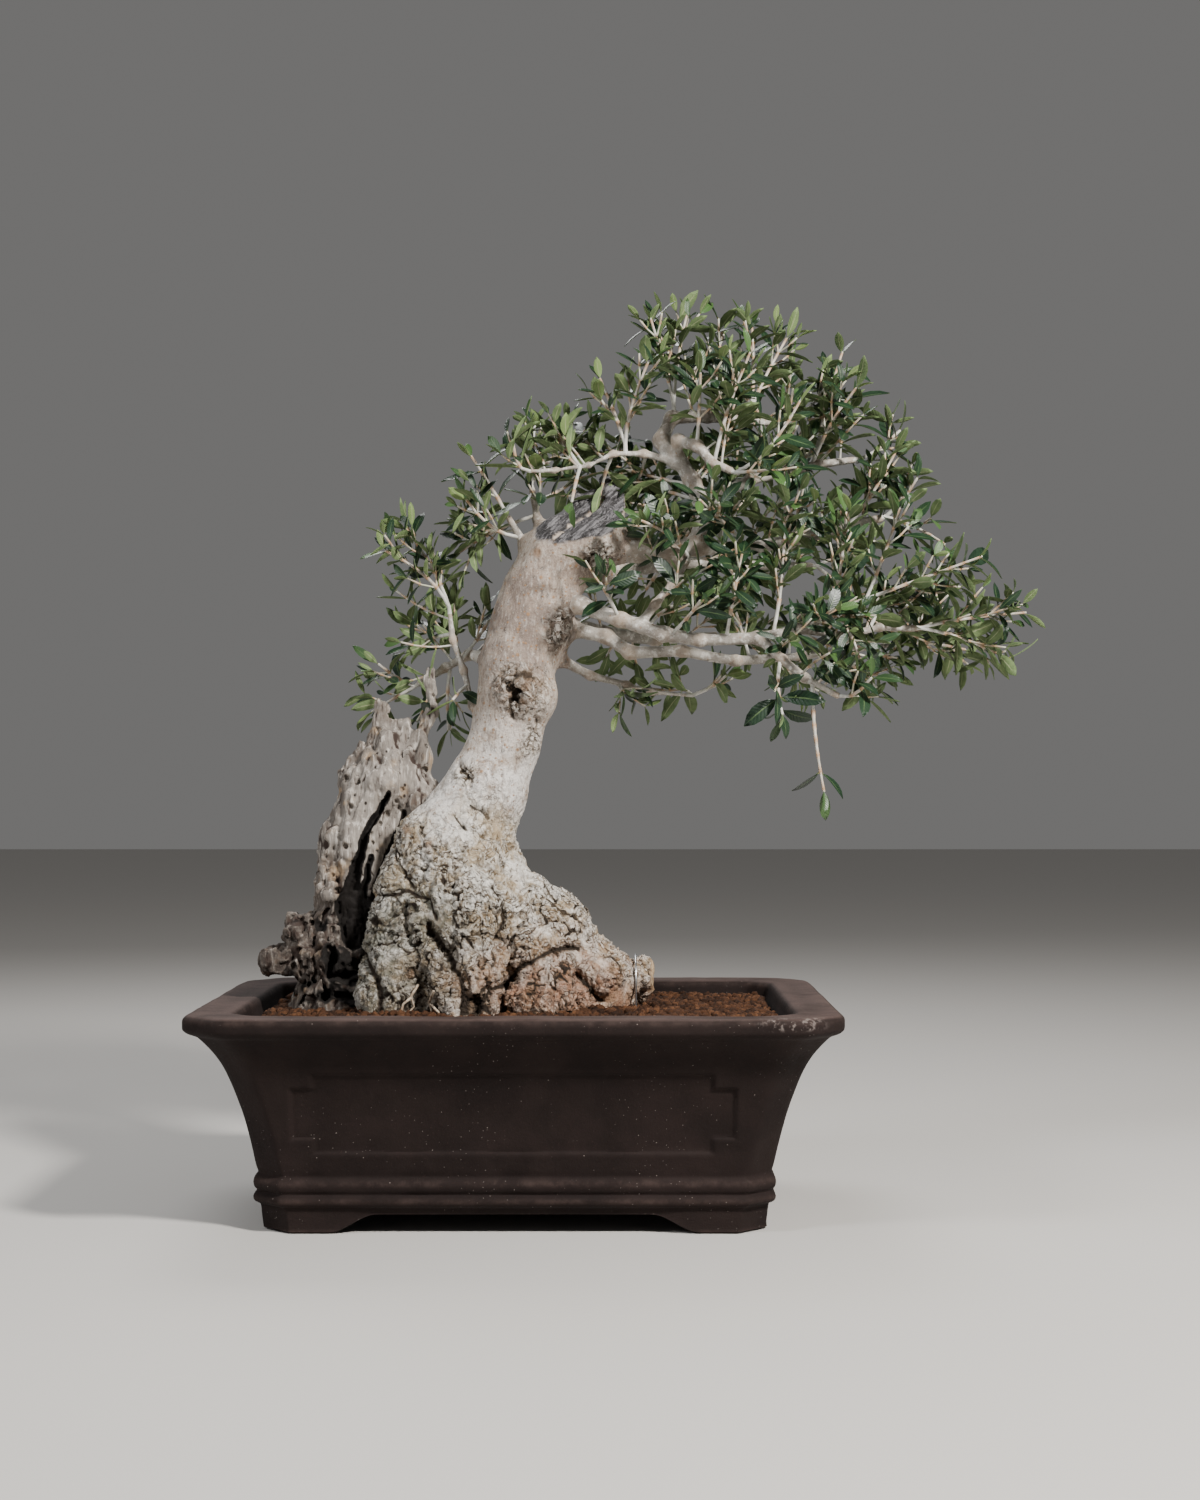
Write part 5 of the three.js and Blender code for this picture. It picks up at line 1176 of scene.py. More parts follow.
def soil_height(x, y):
    """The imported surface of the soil, which the grains fill up to."""
    edge_share = np.maximum(np.abs(x) / SOIL["half_length"], np.abs(y) / SOIL["half_depth"])
    waves = noise(np.stack([x / SOIL["wave"], y / SOIL["wave"], np.full(len(x), 3.0)], axis=1), 1.0)
    return SOIL["crown"] + (SOIL["edge"] - SOIL["crown"]) * edge_share ** 2 + SOIL["relief"] * waves


def distance_to_wood(points):
    nearest = np.full(len(points), FAR)
    for chain in LIVE_WOOD + DEAD_WOOD:
        for start, end in zip(chain, chain[1:]):
            axes = [points[:, axis] for axis in range(3)]
            cone = cone_distance(axes, np.array(start, dtype=float), np.array(end, dtype=float))
            nearest = smooth_less(nearest, cone, DEAD_BLEND)
    return nearest + lumps(points)


def make_bed():
    outline = pot_ring(BED_HALF_LENGTH - WALL_GAP, BED_HALF_DEPTH - WALL_GAP, BED_CORNER)[::4]
    shares = np.linspace(1, BED_EYE, BED_RINGS)
    rings = np.array([outline * share for share in shares])
    flat = rings.reshape(-1, 2)
    height = soil_height(flat[:, 0], flat[:, 1]) - BED_BELOW
    crumbs = np.column_stack([flat, np.zeros(len(flat))])
    height = height + 0.8 * noise(crumbs, 6, 61) + 0.4 * noise(crumbs, 3, 62)
    points = np.column_stack([flat, height]).reshape(len(shares), len(outline), 3)
    wall = [np.column_stack([outline * (1 - (140 - z) * BED_TAPER), np.full(len(outline), z)]) for z in BED_WALL]
    points = np.concatenate([np.array(wall), points]).reshape(-1, 3)
    bed = make_piece("soil_bed", points, *ring_faces(len(shares) + len(wall), len(outline)))
    to_side, to_front = BED_HALF_LENGTH - np.abs(points[:, 0]), BED_HALF_DEPTH - np.abs(points[:, 1])
    to_wall = np.minimum.reduce([to_side, to_front, (to_side + to_front - BED_CORNER) / math.sqrt(2)])
    is_top = points[:, 2] > BED_WALL[-1] + 5
    store(bed, open=is_top & (distance_to_wood(points) > GRAIN_FREE["wood"]) & (to_wall > GRAIN_FREE["wall"]))
    return bed


def clay_grain(number):
    """One crumb of baked clay, as a rough ball with a radius of one millimetre."""
    mesh = bmesh.new()
    bmesh.ops.create_icosphere(mesh, subdivisions=1, radius=MM)
    points = np.array([vertex.co for vertex in mesh.verts]) / MM
    dents = 1 + 0.24 * noise(points * 3, 1.0, 7.3 * number) + 0.12 * noise(points * 9, 1.0, 3.1 * number)
    flatter = np.array([1, 0.8 + 0.05 * number, 0.7 + 0.06 * ((3 * number) % 4)])
    for vertex, point, dent in zip(mesh.verts, points, dents):
        vertex.co = Vector(point * dent * flatter * MM)
    return bpy.data.objects.new(f"grain {number}", as_mesh(mesh, bpy.data.meshes.new(f"grain {number}")))


def start_node_tree(name, inputs):
    """A geometry node tree with a geometry input, the named inputs and a geometry output."""
    tree = bpy.data.node_groups.new(name, "GeometryNodeTree")
    tree.interface.new_socket("Geometry", in_out="INPUT", socket_type="NodeSocketGeometry")
    for label, kind in inputs.items():
        tree.interface.new_socket(label, in_out="INPUT", socket_type=f"NodeSocket{kind}")
    tree.interface.new_socket("Geometry", in_out="OUTPUT", socket_type="NodeSocketGeometry")
    return tree, add_node(tree, "NodeGroupInput").outputs


def end_node_tree(tree, geometry, material):
    """Ends the tree in Realize Instances and Set Material."""
    real = add_node(tree, "GeometryNodeRealizeInstances", {0: geometry}).outputs[0]
    smooth = add_node(tree, "GeometryNodeSetShadeSmooth", {"Geometry": real}).outputs[0]
    done = add_node(tree, "GeometryNodeSetMaterial", {"Geometry": smooth, "Material": material}).outputs[0]
    add_node(tree, "NodeGroupOutput", {0: done})


def named(tree, name, data_type="FLOAT"):
    """A named attribute of the geometry."""
    made = add_node(tree, "GeometryNodeInputNamedAttribute", {"Name": name}, data_type=data_type)
    return next(output for output in made.outputs if output.enabled and output.name == "Attribute")


def evaluated_mesh(piece, tree, inputs):
    """The mesh that a geometry node tree makes of a piece, with the modifier taken off again."""
    modifier = piece.modifiers.new(tree.name, "NODES")
    modifier.node_group = tree
    for item in tree.interface.items_tree:
        if item.in_out == "INPUT" and item.name in inputs:
            modifier[item.identifier] = inputs[item.name]
    mesh = evaluated(piece)
    piece.modifiers.remove(modifier)
    if mesh.materials[0] is None:
        mesh.materials.pop(index=0)
    return mesh


def shape_collection(name, shapes):
    """A collection of shapes that are only used as copies."""
    collection = bpy.data.collections.new(name)
    for shape in shapes:
        collection.objects.link(shape)
    return collection


def discard(collection):
    for shape in list(collection.objects):
        bpy.data.meshes.remove(shape.data)
    bpy.data.collections.remove(collection)


def scatter_tree(material):
    """Geometry nodes that strew copies over the open part of a surface."""
    tree, given = start_node_tree("strewn grains", {
        "Shapes": "Collection", "Spacing": "Float", "Smallest": "Float", "Largest": "Float", "Seed": "Int"})
    spots = add_node(tree, "GeometryNodeDistributePointsOnFaces", {
        "Mesh": given["Geometry"], "Distance Min": given["Spacing"], "Density Max": 400000.0,
        "Density Factor": named(tree, "open"), "Seed": given["Seed"]}, distribute_method="POISSON")
    shapes = add_node(tree, "GeometryNodeCollectionInfo", {
        "Collection": given["Shapes"], "Separate Children": True, "Reset Children": True})
    turn = add_node(tree, "FunctionNodeRandomValue", {1: (math.tau,) * 3, "Seed": 3}, data_type="FLOAT_VECTOR")
    size = add_node(tree, "FunctionNodeRandomValue", {2: given["Smallest"], 3: given["Largest"], "Seed": 5})
    tint = add_node(tree, "FunctionNodeRandomValue", {"Seed": 7})
    copies = add_node(tree, "GeometryNodeInstanceOnPoints", {
        "Points": spots.outputs["Points"], "Instance": shapes.outputs[0], "Pick Instance": True,
        "Rotation": turn.outputs[0], "Scale": size.outputs[1]})
    lifted = add_node(tree, "GeometryNodeTranslateInstances", {
        "Instances": copies.outputs[0], "Translation": (0, 0, 0.9 * MM), "Local Space": False})
    tinted_copies = add_node(tree, "GeometryNodeStoreNamedAttribute", {
        "Geometry": lifted.outputs[0], "Name": "tint", "Value": tint.outputs[1]}, domain="INSTANCE")
    end_node_tree(tree, tinted_copies.outputs[0], material)
    return tree


def akadama_clay(name, is_bed):
    material, tree, place = start_material(name)
    cloud, fine = mottle(place, 3.6 if is_bed else 2.4, 4, 0.65), mottle(place, 0.9, 3, 0.7)
    share = fade(cloud, 0.3, 0.7)
    if not is_bed:
        share = combined("ADD", times(attribute(tree, "tint"), 0.62), times(share, 0.38))
    clay = coated(
        tree, (0.019, 0.0088, 0.005),
        (fade(share, 0.15, 0.6), (0.062, 0.0265, 0.0125)),
        (fade(share, 0.6, 0.95), (0.125, 0.056, 0.026)),
        (fade(fine, 0.4, 0.2, 0, 0.5), (0.03, 0.013, 0.007)))
    # The bed is painted darker than the grains, as the shade in the gaps between them.
    if is_bed:
        clay = coated(tree, clay, (0.55, (0.028, 0.012, 0.007)))
    return dress(material, clay, 0.95, 0.2, (cloud, 0.8), (fine, 0.5))


bed = make_bed()
grain_shapes = shape_collection("clay grains", [clay_grain(number) for number in range(4)])
grains = make_piece("soil_grains", np.zeros((3, 3)), [[0, 1, 2]])
# The copies' scale is their radius in millimetres, because the shapes have a radius of one.
grains.data = evaluated_mesh(bed, scatter_tree(akadama_clay("akadama grains", False)), {
    "Shapes": grain_shapes, "Spacing": GRAIN_SPACING * MM, "Smallest": GRAIN_SIZES[0], "Largest": GRAIN_SIZES[1],
    "Seed": 11})
discard(grain_shapes)
bed.data.materials.append(akadama_clay("akadama bed", True))
for piece in (bed, grains):
    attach(piece, "root")
    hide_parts("soil")

# ---------------------------------------------------------------- anchor wire
# A loop of bare metal wire that ties the root stub down in its pot. It lies over the stub and both of its legs go
# down into the soil.

WIRE = {"x": 84, "radius": 0.8, "clearance": 0.3, "middle": (-9, 162), "spread": 105, "knee": 138, "bottom": 114}
WIRE_STEPS = 29          # points along the arch
# The stub's bark under the wire: how far to each side of it, up to which height, and the angle that counts as near.
STUB_REACH, STUB_TOP, STUB_ANGLE = 2.2, 220, 16


def wire_route():
    """The wire's points: up from the soil, round the stub close to its bark, and down again."""
    stub = points_of(trunk)[0]
    beside_wire = (np.abs(stub[:, 0] - WIRE["x"]) < STUB_REACH) & (stub[:, 2] < STUB_TOP)
    near = stub[beside_wire][:, 1:] - np.array(WIRE["middle"])
    angle = np.degrees(np.arctan2(near[:, 0], near[:, 1]))
    reach = np.linalg.norm(near, axis=1)
    arch = []
    for turn in np.linspace(-WIRE["spread"], WIRE["spread"], WIRE_STEPS):
        out = reach[np.abs(angle - turn) < STUB_ANGLE].max(initial=0) + WIRE["radius"] + WIRE["clearance"]
        arch.append([out * math.sin(math.radians(turn)), out * math.cos(math.radians(turn))])
    arch = np.array(arch)
    for _ in range(3):
        arch[1:-1] = (arch[:-2] + 2 * arch[1:-1] + arch[2:]) / 4
    arch += np.array(WIRE["middle"])
    legs = [[[y, z] for z in np.linspace(WIRE["bottom"], WIRE["knee"], 7)] for y in (arch[0][0] - 1, arch[-1][0] + 1)]
    route = np.array(legs[0] + arch.tolist() + legs[1][::-1])
    return np.column_stack([np.full(len(route), WIRE["x"]), route])


def make_strand(name, routes, girths):
    """An object of loose edges along each route, with the girth stored on its points."""
    mesh = bpy.data.meshes.new(name)
    points, edges = [], []
    for route in routes:
        edges += [(len(points) + step, len(points) + step + 1) for step in range(len(route) - 1)]
        points += [placed(spot) for spot in route]
    mesh.from_pydata(points, edges, [])
    strand = add_object(name, mesh)
    store(strand, girth=np.concatenate(girths) * MM)
    return strand


def tube_tree(material):
    """Geometry nodes that give loose edges a round skin of the girth stored on them."""
    tree, given = start_node_tree("round strands", {"Sides": "Int"})
    paths = add_node(tree, "GeometryNodeMeshToCurve", {"Mesh": given["Geometry"]}).outputs[0]
    profile = add_node(tree, "GeometryNodeCurvePrimitiveCircle", {"Resolution": given["Sides"], "Radius": 1.0})
    skin = add_node(tree, "GeometryNodeCurveToMesh", {
        "Curve": paths, "Profile Curve": profile.outputs[0], "Scale": named(tree, "girth"), "Fill Caps": True})
    end_node_tree(tree, skin.outputs[0], material)
    return tree


def bright_wire():
    material, tree, place = start_material("bright wire")
    tree.nodes["Principled BSDF"].inputs["Metallic"].default_value = 1.0
    scuff = mottle(place, 1.4, 4, 0.6)
    colour = coated(tree, (0.62, 0.63, 0.65), (fade(scuff, 0.4, 0.7), (0.36, 0.35, 0.34)))
    return dress(material, colour, fade(scuff, 0.3, 0.7, 0.24, 0.42))


route = wire_route()
wire = make_strand("anchor_wire_loop", [route], [np.full(len(route), WIRE["radius"])])
wire.data = evaluated_mesh(wire, tube_tree(bright_wire()), {"Sides": 12})
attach(wire, "root")
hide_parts("anchor_wire")

# ---------------------------------------------------------------- feeder roots
# A few thin pale roots that have come up at the front of the burl. They run down over its bark into the soil.

FEEDER_ROOTS = [      # points in x and z
    [[-70, 163], [-75, 155], [-73, 148], [-78, 141], [-80, 133]],
    [[-75, 154], [-80, 150], [-82, 143], [-88, 138], [-89, 132]],
    [[-58, 160], [-62, 151], [-60, 144], [-66, 138], [-67, 132]],
    [[-61, 150], [-55, 145], [-54, 138], [-50, 132]],
]
FEEDER_RADII = (1.0, 0.55)
FEEDER_WINDOW = 3        # how near the bark has to be to lie under a root's point
BURL_FRONT = -72         # where a root's point lies that has no bark under it


def over_bark(line, radius):
    """A line's points laid against the front of the trunk."""
    near = points_of(trunk)[0]
    laid = []
    for start, end in zip(line, line[1:]):
        for share in (0, 1 / 3, 2 / 3):
            x, z = (start[axis] + (end[axis] - start[axis]) * share for axis in (0, 1))
            beside = np.hypot(near[:, 0] - x, near[:, 2] - z) < FEEDER_WINDOW
            front = near[beside][:, 1].min() if beside.any() else BURL_FRONT
            laid.append([x, front - 0.4 * radius, z])
    return laid


def feeder_bark():
    material, tree, place = start_material("feeder root bark")
    cloud = mottle(place, 3, 4, 0.6)
    colour = coated(tree, (0.30, 0.21, 0.14), (fade(cloud, 0.35, 0.65), (0.56, 0.47, 0.36)))
    return dress(material, colour, 0.8, 0.5, (cloud, 0.3))


routes = [over_bark(line, FEEDER_RADII[0]) for line in FEEDER_ROOTS]
roots = make_strand("feeder_roots", routes, [np.linspace(*FEEDER_RADII, len(route)) for route in routes])
roots.data = evaluated_mesh(roots, tube_tree(feeder_bark()), {"Sides": 8})
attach(roots, "root")
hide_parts("olive_tree_wood")

# ---------------------------------------------------------------- leafy twigs
# The young growth of every limb: thin pale twigs with a bud at each pair of leaves, each pair a quarter turn from
# the last. Olive leaves are narrow, leathery and short-stalked, glossy deep green above and grey-green beneath.
# They are one piece for each limb, because its twigs grow from it.

# Each limb and its stems: place along the limb from 0 to 1, the tips that the twigs of the stem grow to, and how
# much of them is bare.
LEAFY_STEMS = [
    ["crown_back", (0.34, [[95, -6, 645], [123, 16, 654]]), (0.60, [[150, 40, 645]]),
     (0.82, [[171, 24, 645], [198, 34, 638]]), (1, [[229, 10, 604]])],
    ["crown_arch", (0.50, [[130, -42, 599]]), (0.78, [[166, -40, 614]]), (1, [[201, -48, 578], [178, -66, 526]])],
    ["crown_left", (0.36, [[58, 6, 603], [93, -22, 610]]), (0.68, [[20, 4, 565]]), (1, [[-5, -26, 553]])],
    ["crown_right", (0.45, [[175, -10, 570]]), (0.75, [[245, -12, 593], [238, 20, 625]]),
     (1, [[281, 22, 567], [263, -4, 519]])],
    ["mid_right", (0.30, [[129, -50, 507]]), (0.52, [[201, -40, 508]]), (0.78, [[274, -8, 547], [240, -14, 445]]),
     (1, [[290, -6, 528], [308, -20, 478]])],
    ["low_front", (0.26, [[58, -52, 448]]), (0.42, [[129, -66, 434]]), (0.58, [[159, -58, 469]]),
     (0.72, [[190, -45, 521]]), (0.88, [[234, -44, 499], [241, -70, 392]]),
     (1, [[274, -34, 503], [331, -46, 467]], 0.2)],
    ["low_drop", (0.34, [[186, -76, 353]]), (0.72, [[216, -66, 299]], 0.8), (1, [[248, -80, 379]])],
    ["low_rise", (1, [[87, -52, 492], [155, -30, 455]])],
    ["far_right", (0.60, [[295, -10, 453]]), (1, [[368, -14, 429], [360, 10, 396]], 0.25)],
    ["low_back", (0.60, [[159, 30, 434]]), (0.86, [[269, 50, 375]]), (1, [[335, 60, 406], [317, 70, 452]])],
    ["under", (0.55, [[76, 26, 372]]), (1, [[116, 46, 377], [152, 30, 385]])],
    ["back_right", (0.45, [[89, 106, 446]]), (0.75, [[183, 110, 510]]), (1, [[269, 120, 495], [261, 112, 440]])],
    ["back_low", (0.60, [[128, 112, 448]]), (1, [[206, 104, 400]])],
    ["crown_rear", (0.45, [[105, 110, 525]]), (0.80, [[213, 96, 570]]), (1, [[203, 72, 620], [151, 90, 616]])],
    ["left_low", (0.42, [[-50, 2, 366]]), (0.62, [[-17, 50, 443]]), (0.84, [[-73, 40, 412]]),
     (1, [[-100, 6, 476], [-86, 22, 494]], 0.3)],
    ["left_rear", (0.36, [[-18, 76, 423]]), (0.66, [[-56, 52, 345]]), (1, [[-109, 50, 395], [-115, 64, 359]])],
    ["left_top", (0.62, [[-39, -16, 511]]), (1, [[-36, -8, 544]], 0.35)],
    ["left_up", (0.62, [[-46, 20, 476]]), (1, [[10, 16, 571], [51, 40, 562]])],
    ["apex", (0.74, [[88, 30, 528]]), (0.62, [[66, 34, 516]]), (0.82, [[70, 22, 540]])],
    ["crown_left", (0.22, [[84, 24, 522]]), (0.45, [[58, 16, 516]])],
    ["mid_right", (0.14, [[146, 12, 512]])],
    ["back_right", (0.3, [[62, 62, 520]])],
    ["left_up", (0.8, [[40, 40, 532]])],
    ["crown_left", (0.68, [[38, -42, 506]], 0.8)],
]
TWIG_RADII = (1.45, 0.75)      # at the fork and at the tip
NODE_SPACING = 13
NODES_FROM, NODES_TO = 0.14, 0.98      # the stretch of a twig that its nodes stand on, as shares of its length
LEAF_CHANCE, FIRST_LEAF_CHANCE = 0.93, 0.6
STEM = {"radius": 1.9, "fork": 4, "lean": 0.6}     # where it leaves its limb
SIDE_TWIG = {"share": 0.6, "length": (16, 38), "radius": 0.75, "spacing": 9.8}
LEAF_LENGTH = (20, 31)
LEAF_WIDTH_SHARE = 0.318
CROSSWISE = Vector((0.31, 0.95, 0.05))     # no limb or twig starts out this way
UP = Vector((0, 0, 1))
CANOPY_MIDDLE = Vector((95, 10, 445))
SPUR = {"spacing": 11.5, "length": (24, 58), "radius": 0.9, "bare": 0.36}    # short shoots straight from a limb
BARE_SHARES = {"apex": 0.3, "crown_left": 0.34, "crown_right": 0.1, "low_front": 0.66, "low_back": 0.66,
               "under": 0.93, "crown_arch": 0.5, "low_drop": 0.2,
               "far_right": 0.2, "left_low": 0.62, "left_rear": 0.55, "left_top": 0.7, "left_up": 0.6}
SEED = 4711


def random_stream(seed):
    """Draws between two numbers, the same ones each time."""
    state = seed

    def draw(low=0.0, high=1.0):
        nonlocal state
        state = (state * 1664525 + 1013904223) % 4294967296
        return low + (high - low) * state / 4294967296
    return draw


def along_limb(points, share):
    """The point, direction and radius at a share of a limb's length."""
    lengths = [(Vector(b[:3]) - Vector(a[:3])).length for a, b in zip(points, points[1:])]
    left = share * sum(lengths)
    leg = 0
    while leg < len(lengths) - 1 and left > lengths[leg]:
        left -= lengths[leg]
        leg += 1
    t = min(left / lengths[leg], 1)
    start, end = Vector(points[leg][:3]), Vector(points[leg + 1][:3])
    return start.lerp(end, t), (end - start).normalized(), points[leg][3] + (points[leg + 1][3] - points[leg][3]) * t


def bezier(start, control, end, t):
    return start * (1 - t) ** 2 + control * 2 * t * (1 - t) + end * t ** 2


class Foliage:
    """The twigs and leaves of one limb."""

    def __init__(self):
        self.routes, self.girths, self.leaves = [], [], []

    def add_twig(self, start, control, end, radii, nodes):
        """A bowed twig that is a little thicker at its nodes. The nodes are shares of its length."""
        length = (control - start).length + (end - control).length
        shares = sorted(set(np.linspace(0, 1, max(3, int(length / 8))).tolist() + list(nodes)))
        self.routes.append([bezier(start, control, end, t) for t in shares])
        self.girths.append(np.array([
            (radii[0] + (radii[1] - radii[0]) * t) * (1.32 if t in nodes else 1) for t in shares]))

    def add_leaf(self, centre, tangent, around, radius, draw):
        """A leaf that reaches out from its node, with its upper face to the sky."""
        along = tangent * math.cos(draw["splay"]) + around * math.sin(draw["splay"]) + UP * draw["lift"]
        along.normalize()
        face = tangent * 0.35 + UP * 0.55 + (centre - CANOPY_MIDDLE).normalized() * 0.7
        normal = (face - along * face.dot(along)).normalized()
        normal.rotate(Matrix.Rotation(draw["roll"], 3, along))
        root = centre + along * radius * 0.5
        tip = placed(root + along * draw["length"])
        if all(low < value < high for low, value, high in zip(cad_box[0], tip, cad_box[1])):
            turn = Matrix((along.cross(normal), along, normal)).transposed().to_quaternion()
            self.leaves.append((root, turn, draw["length"], draw["young"], draw["kind"]))


def leaf_pair_draws(random, is_tip):
    draws = []
    for _ in range(2):
        swing = 0.5 * (random() - 0.5)
        splay = random(18, 46) if is_tip else random(44, 80)
        length = random(*LEAF_LENGTH)
        draws.append({"swing": swing, "splay": math.radians(splay), "length": length,
                      "roll": math.radians(random(-50, 50))})
    return draws


def grow_twig(foliage, start, control, end, outward, seed, first_turn, radii, spacing, is_side, bare=0.0):
    """A twig with its leaves, and with side twigs from some of its nodes. It may be bare for a share of its length."""
    random = random_stream(seed + 11)
    extra = random_stream(seed + 50021)
    length = sum((bezier(start, control, end, (step + 1) / 12) - bezier(start, control, end, step / 12)).length
                 for step in range(12))
    count = max(2 if is_side else 3, round(length / spacing))
    shares = [NODES_FROM + (NODES_TO - NODES_FROM) * pair / count for pair in range(1, count + 1)]
    foliage.add_twig(start, control, end, radii, shares)
    across = CROSSWISE.cross(outward).normalized()
    across.rotate(Matrix.Rotation(first_turn, 3, outward))
    for pair, share in enumerate(shares, start=1):
        centre = bezier(start, control, end, share)
        tangent = ((control - start) * (1 - share) + (end - control) * share).normalized()
        across = (across - tangent * across.dot(tangent)).normalized()
        other = tangent.cross(across)
        radius = radii[0] + (radii[1] - radii[0]) * share
        is_tip = pair == count
        for number, draw in enumerate(leaf_pair_draws(random, is_tip)):
            quarters = (pair % 2) + 2 * number + 2 * draw["swing"] / math.pi
            around = across * math.cos(quarters * math.pi / 2) + other * math.sin(quarters * math.pi / 2)
            draw["length"] *= (0.72 if is_side else 0.9) + (0.08 if not is_tip else -0.12) + extra(-0.12, 0.16)
            draw["young"] = min(1, max(0, (share - 0.7) / 0.3) * extra(0.2, 0.9) + extra(0, 0.3) ** 1.5)
            draw["kind"] = int(extra(0, 4.999))
            draw["lift"] = extra(-0.4, 0.3)
            if share < bare:
                continue
            has_side_twig = not is_side and not is_tip and extra() < SIDE_TWIG["share"]
            if extra() < (LEAF_CHANCE if is_side or pair > 1 else FIRST_LEAF_CHANCE):
                foliage.add_leaf(centre, tangent, around, radius, draw)
            if has_side_twig:
                reach = extra(*SIDE_TWIG["length"]) * (1 - 0.35 * share)
                heading = (tangent * 0.75 + around * extra(0.55, 0.95) + UP * extra(-0.05, 0.3)).normalized()
                tip = centre + (heading + tangent * 0.2 + UP * 0.12).normalized() * reach
                grow_twig(foliage, centre, centre + heading * 0.5 * reach, tip, heading,
                          seed + 7919 * pair + 389 * number, extra(0, math.pi),
                          (SIDE_TWIG["radius"], 0.55), SIDE_TWIG["spacing"], True)


def grow_stem(foliage, limb, row, seed):
    share, tips, *rest = row
    bare = rest[0] if rest else 0.0
    point, direction, limb_radius = along_limb(LIMBS[limb], share)
    tips = [Vector(tip) for tip in tips]
    if share == 1:
        outward, radius, reach = direction, limb_radius, 0.3
    else:
        toward = (sum(tips, Vector()) / len(tips) - point).normalized()
        away = (toward - direction * toward.dot(direction)).normalized()
        lean = max(-STEM["lean"], min(STEM["lean"], toward.dot(direction)))
        outward = away * math.sqrt(1 - lean * lean) + direction * lean
        radius, reach = STEM["radius"], limb_radius * 1.1 + 1
    start = point + outward * reach
    fork = start + outward * (STEM["fork"] if len(tips) > 1 else 0)
    inside = point - outward * 0.3 * limb_radius
    foliage.add_twig(inside, (inside + fork) / 2, fork + outward * 0.6, (radius, TWIG_RADII[0]), [])
    for number, tip in enumerate(tips):
        twig_seed = seed + 97 * number
        random = random_stream(twig_seed)
        first_turn = math.pi * random()
        span = (tip - fork).length
        heading = ((tip - fork).normalized() + outward * 0.5).normalized() if len(tips) > 1 else outward
        sway = Vector((random() - 0.5, random() - 0.5, random() - 0.3))
        control = fork + heading * 0.4 * span + sway * 0.12 * span
        grow_twig(foliage, fork, control, tip, heading, twig_seed, first_turn, TWIG_RADII, NODE_SPACING, False, bare)


def grow_spurs(foliage, limb, seed):
    """Short leafy shoots from the outer part of a limb, longer towards its end."""
    random = random_stream(seed)
    points = LIMBS[limb]
    length = sum((Vector(b[:3]) - Vector(a[:3])).length for a, b in zip(points, points[1:]))
    bare = BARE_SHARES.get(limb, SPUR["bare"])
    for step in range(int((1 - bare) * length / SPUR["spacing"])):
        share = bare + (step + random()) * SPUR["spacing"] / length
        point, direction, _ = along_limb(points, min(share, 0.98))
        outward = (point - CANOPY_MIDDLE).normalized()
        wander = Vector((random() - 0.5, random() - 0.5, random() - 0.5))
        if limb in ("apex", "crown_arch", "crown_left"):
            wander.y = abs(wander.y) + 0.25
        heading = direction * 0.35 + outward * 0.5 + UP * 0.3 + wander * 1.7
        heading = (heading - direction * 0.6 * heading.dot(direction)).normalized()
        reach = random(*SPUR["length"]) * (0.6 + 0.4 * share)
        tip = point + (heading + (outward + direction + UP) * 0.15).normalized() * reach
        grow_twig(foliage, point, point + heading * 0.5 * reach, tip, heading, seed + 613 * (step + 1),
                  random(0, math.pi), (SPUR["radius"], 0.6), SIDE_TWIG["spacing"], step % 3 != 0)


LEAF_ROWS = [0, 0.09, 0.22, 0.42, 0.62, 0.82, 1]
LEAF_WIDTHS = [0.07, 0.09, 0.58, 0.95, 1, 0.74, 0.07]    # half widths, as shares of the widest
LEAF_KINDS = [
    {"arch": 0.10, "twist": 0.25, "fold": 0.22, "width": 1.0, "sway": 0.02},
    {"arch": 0.04, "twist": -0.3, "fold": 0.34, "width": 0.84, "sway": -0.03},
    {"arch": 0.16, "twist": 0.1, "fold": 0.12, "width": 1.18, "sway": 0.03},
    {"arch": -0.03, "twist": 0.45, "fold": 0.4, "width": 0.8, "sway": 0.04},
    {"arch": 0.22, "twist": -0.12, "fold": 0.26, "width": 1.05, "sway": -0.02},
]


